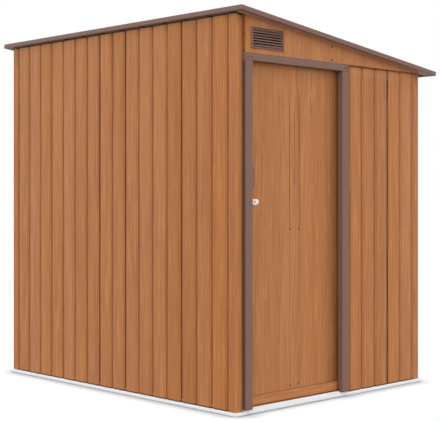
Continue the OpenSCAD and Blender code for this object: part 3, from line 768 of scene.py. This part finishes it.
def screwTree():
    # a washer and a domed head with a cross slot on every point, facing the way its attribute says
    tree, ins, out = openGroup("screwHeads", "GeometryNodeTree", {
        "Points": "shape", "Head Radius": 0.004, "Head Height": 0.0022, "Washer Radius": 0.0055,
        "Washer Height": 0.0008, "Seed": 4, "Look": "look"}, {"Screws": "shape"})
    radius, height, base = ins["Head Radius"], ins["Head Height"], ins["Washer Height"]

    def disc(wide, tall):
        return add(tree, "GeometryNodeMeshCylinder", {"Vertices": 16, "Radius": wide, "Depth": tall})

    def lifted(shape, rise):
        return add(tree, "GeometryNodeTransform", {"Geometry": shape, "Translation": vector(tree, z=rise)})

    def domed(shape, top, rise, shrink):     # raises the top face and draws it in
        raised = add(tree, "GeometryNodeExtrudeMesh", {
            "Mesh": shape, "Selection": top, "Individual": False, "Offset Scale": times(height, rise)})
        drawn = add(tree, "GeometryNodeScaleElements", {
            "Geometry": raised, "Selection": raised.outputs["Top"], "Scale": shrink})
        return drawn, raised.outputs["Top"]

    washer = lifted(disc(ins["Washer Radius"], base), times(base, 0.5))
    rim = disc(radius, times(height, 0.5))
    crown, _ = domed(*domed(rim, rim.outputs["Top"], 0.32, 0.84), 0.18, 0.7)
    long, thin, deep = times(radius, 1.05), times(radius, 0.22), times(height, 0.8)
    cross = add(tree, "GeometryNodeMeshBoolean", operation="UNION")
    for x, y in ((long, thin), (thin, long)):
        bar = add(tree, "GeometryNodeMeshCube", {"Size": vector(tree, x, y, deep)})
        plug(cross.inputs[1], lifted(bar, times(height, 0.75)))
    slotted = add(tree, "GeometryNodeMeshBoolean", {"Mesh 1": crown}, operation="DIFFERENCE")
    plug(slotted.inputs[1], cross)
    head = lifted(slotted, plus(base, times(height, 0.25)))
    facing = add(tree, "GeometryNodeInputNamedAttribute", {"Name": "facing"}, data_type="FLOAT_VECTOR")
    aimed = add(tree, "FunctionNodeAlignRotationToVector", {"Vector": facing}, axis="Z")
    spin = add(tree, "FunctionNodeRandomValue", {2: 0.0, 3: 3.14, "Seed": ins["Seed"]}, data_type="FLOAT")
    turn = add(tree, "FunctionNodeEulerToRotation", {"Euler": vector(tree, z=spin.outputs[1])})
    turned = add(tree, "FunctionNodeRotateRotation", {
        "Rotation": aimed, "Rotate By": turn}, rotation_space="LOCAL")
    copies = add(tree, "GeometryNodeInstanceOnPoints", {
        "Points": ins["Points"], "Instance": joined(tree, washer, head), "Rotation": turned})
    return closeGroup(tree, out, {"Screws": madeReal(tree, copies, ins["Look"])})


pressedSheet, evenRow, screwHeads = pressedSheetTree(), rowTree(), screwTree()
print("growing trees built")


def camel(first, words):
    return first + "".join(word.capitalize() for word in words)


# base frame

def buildBase():
    size = {"bend": 1.6 * mm, "ledge": 11.7 * mm}
    sides = {"base_front": frontSide, "base_back": backSide, "base_left": leftSide, "base_right": rightSide}
    for node, space in sides.items():
        lowest, highest = reach(node, space)
        line = [(size["ledge"], highest.y), (lowest.x, highest.y), (lowest.x, 0), (highest.x, 0)]
        strip = rolled(line, (lowest.z, highest.z), space, size["bend"], cut=(1, 1))
        makePiece(camel("baseFrame", node.split("_")[1:]), [strip], "shed", [node],
                  ["whiteCoat", "whiteCoat"])
    softened("wallCleats", "wall_cleats", "shed", "whiteCoat")


# corner posts

def buildPosts():
    size = {"bend": 2.2 * mm}
    corners = {
        "corner_front_left": ((leftFace, frontFace, 0), 1, 1),
        "corner_front_right": ((rightFace, frontFace, 0), -1, 1),
        "corner_back_left": ((leftFace, backFace, 0), 1, -1),
        "corner_back_right": ((rightFace, backFace, 0), -1, -1),
    }
    for node, (at, x, y) in corners.items():
        space = axes(at, (x, 0, 0), (0, y, 0), (0, 0, 1))
        lowest, highest = reach(node, space)
        line = [(0, highest.y), (0, 0), (highest.x, 0)]
        strip = rolled(line, (lowest.z, roofLine(at[0]) - roofGap), space, size["bend"],
                       cut=(0, roofFall * x))
        post = makePiece(camel("cornerPost", node.split("_")[1:]), [strip], "shed", [node],
                         ["postSideShadedPrint", "backCoat", "gablePrint"])
        # the side faces keep the post print darkened with painted shade
        for face in post.data.polygons:
            if face.material_index == 0 and abs(face.normal.y) > 0.7:
                face.material_index = 2      # the face towards the door side or the back


# grooved walls

wallSheets = {               # each wall's side, grooves and print, and its sheets in order
    "left_wall": (leftSide, sideGrooves, "leftPrint", ("front", "middle", "back")),
    "right_wall": (rightSide, sideGrooves, "rightPrint", ("front", "middle", "back")),
    "back_wall": (backSide, backGrooves, "backPrint", ("left", "right")),
    "front_wall": (frontSide, doorSideGrooves, "frontPrint", ("",)),
}


def buildWalls():
    size = {"softness": 0.55, "rows": 8, "steps": 15}
    for wall, (space, grooves, look, row) in wallSheets.items():
        nodes = [f"{wall}_{part}".rstrip("_") for part in row]
        spans = [reach(node, space) for node in nodes]
        lean = roofFall * (space @ Vector((1, 0, 0)) - space @ Vector((0, 0, 0))).x
        for k, (node, (lowest, highest)) in enumerate(zip(nodes, spans)):
            # neighbours meet in the middle of the small gap between them
            start = lowest.z - ((lowest.z - spans[k - 1][1].z) / 2 if k > 0 else 0)
            stop = highest.z + ((spans[k + 1][0].z - highest.z) / 2 if k < len(nodes) - 1 else 0)
            tops = [roofLine((space @ Vector((0, 0, w))).x) - roofGap for w in (start, stop)]
            mesh = grow(node, pressedSheet, {
                "Start": start, "End": stop, "First": grooves["first"], "Pitch": grooves["pitch"],
                "Bends": grooves["count"], "Width": grooves["width"], "Floor": grooves["floor"],
                "Depth": grooves["depth"], "Thickness": sheet, "Softness": size["softness"],
                "Foot": lowest.y, "Top At Start": tops[0], "Top At End": tops[1],
                "Top Limit": highest.y if space in (frontSide, backSide) else farOff, "Top Lean": lean,
                "Rows": size["rows"], "Steps": size["steps"], "Face": looks[look], "Back": looks["backCoat"]})
            first, *others = node.split("_")
            makePiece(camel(first, others) + "Sheet", placed(mesh, space), "shed", [node])


# door frame

def buildDoorFrame():
    size = {"bend": 1.4 * mm, "notchFront": -11 * mm, "notchTop": 41 * mm, "past": 0.01,
            "wallGap": 0.3 * mm, "capIn": 0.1 * mm}
    for node, x in (("jamb_left", 1), ("jamb_right", -1)):
        at = (low(node).x if x > 0 else high(node).x, frontFace, 0)
        space = axes(at, (x, 0, 0), (0, 1, 0), (0, 0, 1))
        lowest, highest = reach(node, space)
        line = [(0, -size["wallGap"]), (0, lowest.y), (highest.x, lowest.y), (highest.x, highest.y)]
        mesh = meshOf(node, [rolled(line, (lowest.z, highest.z), space, size["bend"])])
        mesh = cutAway(mesh, (highest.x - 2 * sheet, size["notchFront"], lowest.z - size["past"]),
                       (highest.x + size["past"], highest.y + size["past"], size["notchTop"]), space)
        makePiece(camel("doorJamb", node.split("_")[1:]), mesh, "shed", [node],
                  ["trimCoat", "returnShadedCoat"])
        # the jamb's outer return takes the darker copy of the trim coat: painted shade
        outer = at[0] + x * 1 * mm
        paint(mesh, lambda face: int(abs(face.normal.x) > 0.7 and (face.center.x - outer) * x < 0))
    lowest, highest = reach("door_head", frontSide)
    ends = reach("jamb_left", frontSide)[1].z - sheet, reach("jamb_right", frontSide)[0].z + sheet
    front = -size["wallGap"]
    channel = [(front, highest.y), (lowest.x, highest.y), (lowest.x, lowest.y), (front, lowest.y)]
    parts = [rolled(channel, (lowest.z, highest.z), frontSide, size["bend"]),
             flatPlate((front, lowest.y, ends[0]), (highest.x, lowest.y + sheet, ends[1]), frontSide)]
    for w in (lowest.z + size["capIn"], highest.z - sheet - size["capIn"]):
        parts.append(flatPlate((lowest.x + sheet, lowest.y + sheet, w),
                               (front, highest.y - sheet, w + sheet), frontSide))
    makePiece("doorHead", parts, "shed", ["door_head"], ["trimCoat", "trimCoat"])


# sill and tracks

def buildSill():
    size = {"bend": 1.3 * mm, "frontTop": 23.2 * mm, "webBack": -0.8 * mm, "play": 0.3 * mm}
    lowest, highest = reach("door_sill", frontSide)
    inside = (reach("jamb_left", frontSide)[1].z + size["play"],
              reach("jamb_right", frontSide)[0].z - size["play"])
    web = size["webBack"]
    front = [(web, baseTop), (web, size["frontTop"]), (lowest.x, size["frontTop"]), (lowest.x, lowest.y)]
    rear = [(highest.x, baseTop), (highest.x, highest.y), (web - sheet, highest.y),
            (web - sheet, size["frontTop"])]
    parts = [rolled(front, (lowest.z, highest.z), frontSide, size["bend"]),
             rolled(rear, inside, frontSide, size["bend"])]
    makePiece("doorSill", parts, "shed", ["door_sill"], ["whiteCoat", "whiteCoat"])
    softened("lowerTrack", "lower_track", "shed", "whiteCoat")
    softened("upperTrack", "upper_track", "shed", "zincCoat")
    softened("trackSides", "track_sides", "shed", "zincCoat")


# inner framing

def buildFraming():
    for node, look in (("mid_rails", "zincCoat"), ("top_rails", "railShadedCoat"), ("roof_beams", "zincCoat")):
        first, *others = node.split("_")
        softened(camel(first, others), node, "shed", look)


# gables and vents

def buildGables():
    size = {"ease": 0.4 * mm, "lipGap": 0.3 * mm, "bend": 0.6 * mm, "overlap": 0.2 * mm, "pastEnd": 1.5 * mm}
    for node in ("front_gable", "back_gable"):
        mesh = softened(camel("gable", node.split("_")[:1]), node, "shed", "gablePrint",
                        size["ease"]).data
        # the gable's side returns take the print darkened with painted shade
        mesh.materials.append(looks["gableSideShadedPrint"])
        paint(mesh, lambda face: int(abs(face.normal.x) > 0.9))
    frontEdge = axes((leftFace, frontFace, tallTop), (0, 1, 0), roofNormal, slopeWay)
    backEdge = axes((leftFace, backFace, tallTop), (0, -1, 0), roofNormal, slopeWay)
    lowest, highest = reach("gable_trims", frontEdge)
    gableEnd = (high("front_gable").x - leftFace + size["pastEnd"]) / slopeWay.x
    foot = highest.y - sheet
    lip = low("front_gable").y - frontFace - sheet - size["lipGap"]
    parts = []
    for space in (frontEdge, backEdge):
        section = [(lowest.x, foot), (lip, foot), (lip, lowest.y)]
        parts.append(rolled(section, (lowest.z, highest.z), space, size["bend"]))
        # the strip widens past the gable's thin end, up to the wall
        parts.append(flatPlate((lip + size["overlap"], foot, gableEnd),
                               (-size["lipGap"], foot + sheet, highest.z), space))
    makePiece("gableTrims", parts, "shed", ["gable_trims"], ["undersideLitCoat", "trimCoat"])


def buildVents():
    size = {"rim": 5.5 * mm, "sideRim": 8 * mm, "depth": 6 * mm, "rimLip": 2.5 * mm, "rimBend": 0.6 * mm,
            "rimThick": 1 * mm, "blades": 7, "bladeThick": 0.9 * mm, "bladeBend": 0.8 * mm,
            "bladeIn": 1.2 * mm, "tuck": 1 * mm, "firstGap": 1.6 * mm, "hoodTop": 7 * mm,
            "hoodBack": 0.4 * mm, "lip": 1.8 * mm, "startShare": 0.42, "holeIn": 16 * mm,
            "flange": 0.7 * mm, "play": 0.3 * mm}
    parts, shape = [], bmesh.new()
    lowest, highest = reach("gable_vents", frontSide)
    back, tall, wide = lowest.x + size["depth"], highest.y - lowest.y, highest.z - lowest.z
    hole, play = size["holeIn"], size["play"]
    # frame: four rolled sides, mitred at the corners
    foot, side = (0, lowest.y, lowest.z), (0, lowest.y, highest.z)
    turns = [(axes(foot, (1, 0, 0), (0, 1, 0), (0, 0, 1)), size["rim"], wide),
             (axes((0, highest.y, lowest.z), (1, 0, 0), (0, -1, 0), (0, 0, 1)), size["rim"], wide),
             (axes(foot, (1, 0, 0), (0, 0, 1), (0, 1, 0)), size["sideRim"], tall),
             (axes(side, (1, 0, 0), (0, 0, -1), (0, 1, 0)), size["sideRim"], tall)]
    # the blades fill the space from rim to rim, each a hood over the gap below it
    pitch = (tall - 2 * size["rim"] - size["firstGap"]) / size["blades"]
    bladeFace = lowest.x + size["bladeIn"]
    hood = [(back - size["hoodBack"], size["hoodTop"]), (bladeFace, size["lip"]), (bladeFace, 0)]
    bladeEnds = (lowest.z + size["sideRim"] - size["tuck"], highest.z - size["sideRim"] + size["tuck"])
    firstBlade = Matrix.Translation(
        (0, lowest.y + size["rim"] + size["firstGap"] + pitch * size["startShare"], 0))
    for space in (frontSide, backSide):
        for turn, rim, run in turns:
            slant = (size["rim"] + size["sideRim"] - rim) / rim
            line = [(lowest.x + size["rimLip"], rim), (lowest.x, rim), (lowest.x, 0), (back, 0)]
            verts, faces = rolled(line, (0, run), space @ turn, size["rimBend"], size["rimThick"],
                                  (slant, slant), mitre=1)
            parts.append((verts, [(corners, 0) for corners, _ in faces]))
        blade = meshOf("blade", [rolled(hood, bladeEnds, firstBlade, size["bladeBend"], size["bladeThick"])])
        blades = grow("blades", evenRow, {
            "Count": size["blades"], "Step": (0.0, pitch, 0.0), "Look": looks["trimCoat"]}, blade)
        paint(blades, lambda face: 0)
        shape.from_mesh(placed(blades, space))
        # shaded flange behind the blades, round the hole in the gable
        y0, y3, z0, z3 = lowest.y, highest.y, lowest.z, highest.z
        y1, y2, z1, z2 = y0 + hole, y3 - hole, z0 + hole, z3 - hole
        for a, b, c, d in ((y0, y1, z0, z3), (y2, y3, z0, z3), (y1, y2, z0, z1), (y1, y2, z2, z3)):
            parts.append(flatPlate((back - size["flange"], a + play, c + play),
                                   (back, b - play, d - play), space, 1))
    shape.from_mesh(meshOf("ventFrame", parts))
    mesh = storeShape(shape, bpy.data.meshes.new("gableVents"))
    makePiece("gableVents", mesh, "shed", ["gable_vents"], ["trimCoat", "shadeCoat"])


# roof

def buildRoof():
    size = {"ribs": 4, "foot": 34 * mm, "top": 20 * mm, "bend": 1.3 * mm, "legIn": 15 * mm,
            "legOver": 30 * mm, "halfGap": 0.2 * mm, "softness": 0.5, "rows": 6, "steps": 17}
    corner, endOn = (leftFace, frontFace, tallTop), (0, 1, 0)
    flat = axes(corner, -roofNormal, slopeWay, endOn)
    lowest, highest = reach("roof_sheet_middle", flat)
    pitch = (highest.z - lowest.z + 2 * size["halfGap"]) / size["ribs"]
    for node in ("roof_sheet_front", "roof_sheet_middle", "roof_sheet_back"):
        lowest, highest = reach(node, flat)
        skin = highest.x - sheet                       # outer face of the flat parts
        first = lowest.z - size["halfGap"] + 0.5 * pitch
        if node == "roof_sheet_front":
            first = highest.z + size["halfGap"] - (size["ribs"] - 0.5) * pitch
        mesh = grow(node, pressedSheet, {
            "Start": lowest.z, "End": highest.z, "First": first, "Pitch": pitch, "Bends": size["ribs"],
            "Width": size["foot"], "Floor": size["top"], "Depth": lowest.x - skin, "Thickness": sheet,
            "Softness": size["softness"], "Foot": lowest.y, "Top At Start": highest.y,
            "Top At End": highest.y, "Top Limit": farOff, "Top Lean": 0.0, "Rows": size["rows"],
            "Steps": size["steps"], "Face": looks["roofCoat"], "Back": looks["soffitLitCoat"]})
        mesh.transform(Matrix.Translation((skin, 0, 0)))
        makePiece(camel("roofSheet", node.split("_")[2:]), placed(mesh, flat), "shed", [node])
    edges = {                # which way is in, which ends are mitred, and the piece's name
        "front_trim": (axes(corner, endOn, roofNormal, slopeWay), (1, 1), "trimFront"),
        "back_trim": (axes(corner, (0, -1, 0), roofNormal, slopeWay), (1, 1), "trimBack"),
        "high_trim_front": (axes(corner, slopeWay, roofNormal, endOn), (1, 0), "trimHighFront"),
        "high_trim_back": (axes(corner, slopeWay, roofNormal, endOn), (0, 1), "trimHighBack"),
        "low_trim": (axes(corner, -slopeWay, roofNormal, endOn), (1, 1), "trimLow"),
    }
    for node, (space, cut, name) in edges.items():
        lowest, highest = reach(node, space)
        line = [(lowest.x + size["legOver"], highest.y), (lowest.x, highest.y),
                (lowest.x, lowest.y), (lowest.x + size["legIn"], lowest.y)]
        strip = rolled(line, (lowest.z, highest.z), space, size["bend"], cut=cut)
        makePiece(name, [strip], "shed", [node], ["roofCoat", "roofCoat"])


# door

def buildDoor():
    size = {"bend": 1.5 * mm, "lineDepth": 1.3 * mm, "lineHalf": 2.4 * mm, "fade": 0.02,
            "footLip": 6.7 * mm, "railBend": 1.2 * mm, "guideEase": 0.8 * mm}
    leafLow, leafHigh = low("door_leaf"), high("door_leaf")
    stiff = reach("door_stiffener", frontSide)
    lines = [leftFace + end.z for end in stiff]       # pressed lines over the stiffener's edges
    foot, head = (end.y for end in stiff)
    fade, half = size["fade"], size["lineHalf"]
    marks = [(middle + k * half / 3, leafLow.y) for middle in lines for k in range(-3, 4)]
    line = [(leafLow.x, leafHigh.y), (leafLow.x, leafLow.y), *marks,
            (leafHigh.x, leafLow.y), (leafHigh.x, leafHigh.y)]

    def dent(x, z):
        shape = max(0.0, 1 - min(abs(x - middle) for middle in lines) / half)
        strength = min(1.0, max(0.0, (z - foot) / fade), max(0.0, (head - z) / fade))
        return size["lineDepth"] * shape * shape * (3 - 2 * shape) * strength

    stops = [foot + fade * k / 4 for k in range(5)] + [foot + (head - foot) * k / 8 for k in range(1, 8)]
    stops += [head - fade * (4 - k) / 4 for k in range(5)]
    leaf = rolled(line, (leafLow.z, leafHigh.z), Matrix.Identity(4), size["bend"], stops=stops, dent=dent)
    makePiece("doorLeaf", [leaf], "door", ["door_leaf"], ["doorPrint", "backCoat"])
    for node, name, up in (("door_foot_rail", "doorFootRail", 1), ("door_top_rail", "doorTopRail", -1)):
        lowest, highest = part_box(node)
        drop = size["footLip"] if up > 0 else 0.0     # the foot rail's front leg hangs below its web
        space = axes((0, 0, lowest.z if up > 0 else highest.z), (0, 1, 0), (0, 0, up), (1, 0, 0))
        tall = highest.z - lowest.z
        section = [(lowest.y, drop), (highest.y, drop), (highest.y, tall)]
        if not drop:
            section.insert(0, (lowest.y, tall))
        parts = [rolled(section, (lowest.x, highest.x), space, size["railBend"])]
        if drop:
            parts.append(flatPlate((lowest.y, 0, lowest.x), (lowest.y + sheet, tall, highest.x), space))
        makePiece(name, parts, "door", [node], ["railPrint", "backCoat"])
    softened("doorStiffener", "door_stiffener", "door", "zincCoat")
    softened("doorGuides", "door_guides", "door", "nylon", size["guideEase"])


def outlinePlate(outline, hole, y0, y1, space):
    # a flat plate cut to an outline, with a hole of as many points, lying between y0 and y1
    count = len(outline)
    verts = [space @ Vector((p[0], y, p[1])) for y in (y0, y1) for ring in (outline, hole) for p in ring]
    faces = []
    for k in range(count):
        n = (k + 1) % count
        faces += [(k, n, count + n, count + k), (2 * count + k, 3 * count + k, 3 * count + n, 2 * count + n),
                  (k, 2 * count + k, 2 * count + n, n), (count + k, count + n, 3 * count + n, 3 * count + k)]
    return verts, [(face, 0) for face in faces]


def buildLock():
    size = {"slotLong": 18 * mm, "slotWide": 7.5 * mm, "slotBack": 11.5 * mm, "points": 16,
            "ease": 0.45 * mm, "tipIn": 7 * mm, "slimmer": 2 * mm, "thick": 2 * mm, "footIn": 1 * mm}
    slot, steps, thick = size["slotWide"] / 2, size["points"], size["thick"]
    for node, body, name in (("lock_keeper", "shed", "lockKeeper"), ("door_hasp", "door", "doorHasp")):
        lowest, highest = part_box(node)
        radius = (highest.z - lowest.z) / 2 - size["slimmer"]
        middle = (lowest.z + highest.z) / 2
        tip, root = lowest.y + size["tipIn"], highest.y
        outline, hole = [], []
        for k in range(steps + 1):                     # round outer end, from top to bottom
            a = math.pi / 2 + math.pi * k / steps
            outline.append((tip + radius + radius * math.cos(a), middle + radius * math.sin(a)))
            hole.append((tip + size["slotBack"] + slot * (1 + math.cos(a)), middle + slot * math.sin(a)))
        slotEnd = hole[0][0] + size["slotLong"] - size["slotWide"]
        for k in range(steps + 1):                     # square root end, and the slot's other round end
            a = -math.pi / 2 + math.pi * k / steps
            outline.append((root, middle + radius * (-1 + 2 * k / steps)))
            hole.append((slotEnd + slot * math.cos(a), middle + slot * math.sin(a)))
        space = axes((lowest.x, 0, 0), (0, 1, 0), (1, 0, 0), (0, 0, 1))
        parts = [outlinePlate(outline, hole, 0, thick, space)]
        if node == "door_hasp":
            parts.append(flatPlate((lowest.x + size["footIn"], root - thick, lowest.z),
                                   (highest.x, root, highest.z), Matrix.Identity(4)))
        makePiece(name, parts, body, [node], ["zincPaintedReflection"], size["ease"])


def buildHandle():
    size = {"slope": 12 * mm, "narrow": 10 * mm, "rim": 4.5 * mm, "scoop": 4 * mm, "ease": 1.1 * mm,
            "drawInX": 0.18, "drawInZ": 0.05}
    lowest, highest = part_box("door_handle")
    x0, x1, z0, z1 = lowest.x, highest.x, lowest.z, highest.z
    outline = [(x0, z0), (x0 + size["narrow"], z0), (x1, z0 + size["slope"]),
               (x1, z1 - size["slope"]), (x0 + size["narrow"], z1), (x0, z1)]
    shape = bmesh.new()
    front = shape.faces.new([shape.verts.new((x, lowest.y, z)) for x, z in outline])
    back = shape.faces.new([shape.verts.new((x, highest.y, z)) for x, z in reversed(outline)])
    fronts, backs = list(front.verts), list(reversed(back.verts))
    for k in range(len(outline)):
        n = (k + 1) % len(outline)
        shape.faces.new((fronts[k], fronts[n], backs[n], backs[k]))
    bmesh.ops.inset_region(shape, faces=[front], thickness=size["rim"], use_even_offset=True)
    for vert in front.verts:
        vert.co.y += size["scoop"]
        vert.co.x += ((x0 + x1) / 2 - vert.co.x) * size["drawInX"]
        vert.co.z += ((z0 + z1) / 2 - vert.co.z) * size["drawInZ"]
    mesh = storeShape(shape, bpy.data.meshes.new("doorHandle"))
    makePiece("doorHandle", mesh, "door", ["door_handle"], ["handleLitCoat"], size["ease"])


# screws

screwSizes = {               # look, head radius, head height, washer radius and seed
    "footScrews": ("zincCoat", 3.2 * mm, 2.0 * mm, 4.2 * mm, 7),
    "wallScrews": ("capCoat", 3.4 * mm, 1.8 * mm, 4.4 * mm, 4),
    "frameScrews": ("trimScrew", 3.2 * mm, 1.4 * mm, 4.0 * mm, 4),
    "gableScrews": ("darkScrew", 4.0 * mm, 1.6 * mm, 4.8 * mm, 4),
    "doorScrews": ("darkScrew", 3.2 * mm, 1.2 * mm, 4.0 * mm, 4),
}


def screws(name, body, spots):
    look, radius, height, washer, seed = screwSizes[name]
    mesh = bpy.data.meshes.new(name)
    mesh.from_pydata([Vector(at) for at, _ in spots], [], [])
    facing = mesh.attributes.new("facing", "FLOAT_VECTOR", "POINT")
    for item, (_, way) in zip(facing.data, spots):
        item.vector = way
    made = grow(name, screwHeads, {
        "Head Radius": radius, "Head Height": height, "Washer Radius": washer,
        "Washer Height": 0.7 * mm, "Seed": seed, "Look": looks[look]}, mesh)
    makePiece(name, made, body, [])


def wallSpots(space, grooves, numbers, z):
    out = space @ Vector((-1, 0, 0)) - space @ Vector((0, 0, 0))
    return [(space @ Vector((grooves["depth"], z, grooves["first"] + k * grooves["pitch"])), out)
            for k in numbers]


def buildScrews():
    size = {"foot": 28 * mm, "waist": 852 * mm, "doorSideWaist": 850 * mm, "headUp": 1668,
            "headAlong": (60, 85, 759, 778), "gableEnd": (1694, 1775), "jamb": (60, 856, 1600),
            "returnIn": 11 * mm, "gableAlong": 658, "gableUp": (1764, 1698),
            "doorAlong": (394, 455), "doorUp": (99, 857)}
    walls = ((leftSide, sideGrooves), (rightSide, sideGrooves), (backSide, backGrooves))
    feet, caps = [], []
    for space, grooves in walls:
        feet += wallSpots(space, grooves, range(1, grooves["count"], 2), size["foot"])
        caps += wallSpots(space, grooves, range(0, grooves["count"], 2), size["waist"])
    caps += wallSpots(frontSide, doorSideGrooves, range(doorSideGrooves["count"]), size["doorSideWaist"])
    screws("footScrews", "shed", feet)
    screws("wallScrews", "shed", caps)

    def facingDoorSide(node, along, heights):
        return [((leftFace + x * mm, low(node).y, z * mm), (0, -1, 0)) for x in along for z in heights]

    def facingLeft(node, heights):
        return [((low(node).x, frontFace - size["returnIn"], z * mm), (-1, 0, 0)) for z in heights]

    trim = facingDoorSide("door_head", size["headAlong"], (size["headUp"],))
    trim += facingLeft("front_gable", size["gableEnd"]) + facingLeft("jamb_left", size["jamb"])
    screws("frameScrews", "shed", trim)
    screws("gableScrews", "shed",
           facingDoorSide("front_gable", (size["gableAlong"],), size["gableUp"]))
    screws("doorScrews", "door", facingDoorSide("door_leaf", size["doorAlong"], size["doorUp"]))


for build in (buildBase, buildPosts, buildWalls, buildDoorFrame, buildSill, buildFraming, buildGables,
              buildVents, buildRoof, buildDoor, buildLock, buildHandle, buildScrews):
    build()
    print(build.__name__, "done")


# studio

studio = {
    "horizon": 1.26, "zenith": 0.8,                  # level of the pale dome, low down and overhead
    "softboxes": [(-20, 0.5), (-70, 0.5)],           # degrees from square-on to the door side, and level
    "softWidth": 0.35,
    "bounce": 0.27,                                  # how much light the floor throws back up
    "contactReach": 95 * mm, "contactPower": 1.3,    # the soft dark line where the shed meets the floor
    "floorHalf": 40, "floorLevel": -0.5 * mm,
}
white = (1, 1, 1, 1)


def seenOnly(tree):
    path = add(tree, "ShaderNodeLightPath").outputs
    return larger(path["Is Camera Ray"], larger(path["Is Glossy Ray"], path["Is Transmission Ray"]))


def buildDome():
    world = bpy.data.worlds.new("studio")
    world.use_nodes = True
    tree = world.node_tree
    tree.nodes.clear()
    way = add(tree, "ShaderNodeTexCoord").outputs["Generated"]
    rise = add(tree, "ShaderNodeSeparateXYZ", {"Vector": way}).outputs["Z"]
    level = between(rise, 0.0, 1.0, studio["horizon"], studio["zenith"], "LINEAR")
    flat = add(tree, "ShaderNodeVectorMath", {0: way, 1: (1, 1, 0)}, operation="MULTIPLY")
    flat = add(tree, "ShaderNodeVectorMath", {0: flat}, operation="NORMALIZE")
    extra = 1.0
    for turn, strength in studio["softboxes"]:
        aim = (math.sin(math.radians(turn)), -math.cos(math.radians(turn)), 0)
        facing = add(tree, "ShaderNodeVectorMath", {0: flat, 1: aim}, operation="DOT_PRODUCT").outputs
        extra = plus(extra, between(facing["Value"], studio["softWidth"], 1.0, 0.0, strength))
    lit = add(tree, "ShaderNodeBackground", {"Color": white, "Strength": times(level, extra)})
    seen = add(tree, "ShaderNodeBackground", {"Color": white, "Strength": 1.0})
    both = add(tree, "ShaderNodeMixShader", {0: seenOnly(tree), 1: lit, 2: seen})
    add(tree, "ShaderNodeOutputWorld", {"Surface": both})
    scene.world = world


def buildFloor():
    mesh = bpy.data.meshes.new("floor")
    half, z = studio["floorHalf"], studio["floorLevel"]
    mesh.from_pydata([(-half, -half, z), (half, -half, z), (half, half, z), (-half, half, z)],
                     [], [(0, 1, 2, 3)])
    look = bpy.data.materials.new("floor")
    look.use_nodes = True
    tree = look.node_tree
    tree.nodes.clear()
    near = add(tree, "ShaderNodeAmbientOcclusion", {"Distance": studio["contactReach"]}, samples=12).outputs
    clear = times(calc("POWER", near["AO"], studio["contactPower"]), 1.02)
    bright = add(tree, "ShaderNodeEmission", {"Color": white, "Strength": clear})
    dull = add(tree, "ShaderNodeBsdfDiffuse", {"Color": (*[studio["bounce"]] * 3, 1)})
    both = add(tree, "ShaderNodeMixShader", {0: seenOnly(tree), 1: dull, 2: bright})
    add(tree, "ShaderNodeOutputMaterial", {"Surface": both})
    mesh.materials.append(look)
    floor = bpy.data.objects.new("floor", mesh)
    scene.collection.objects.link(floor)


buildDome()
buildFloor()
print("studio lit")
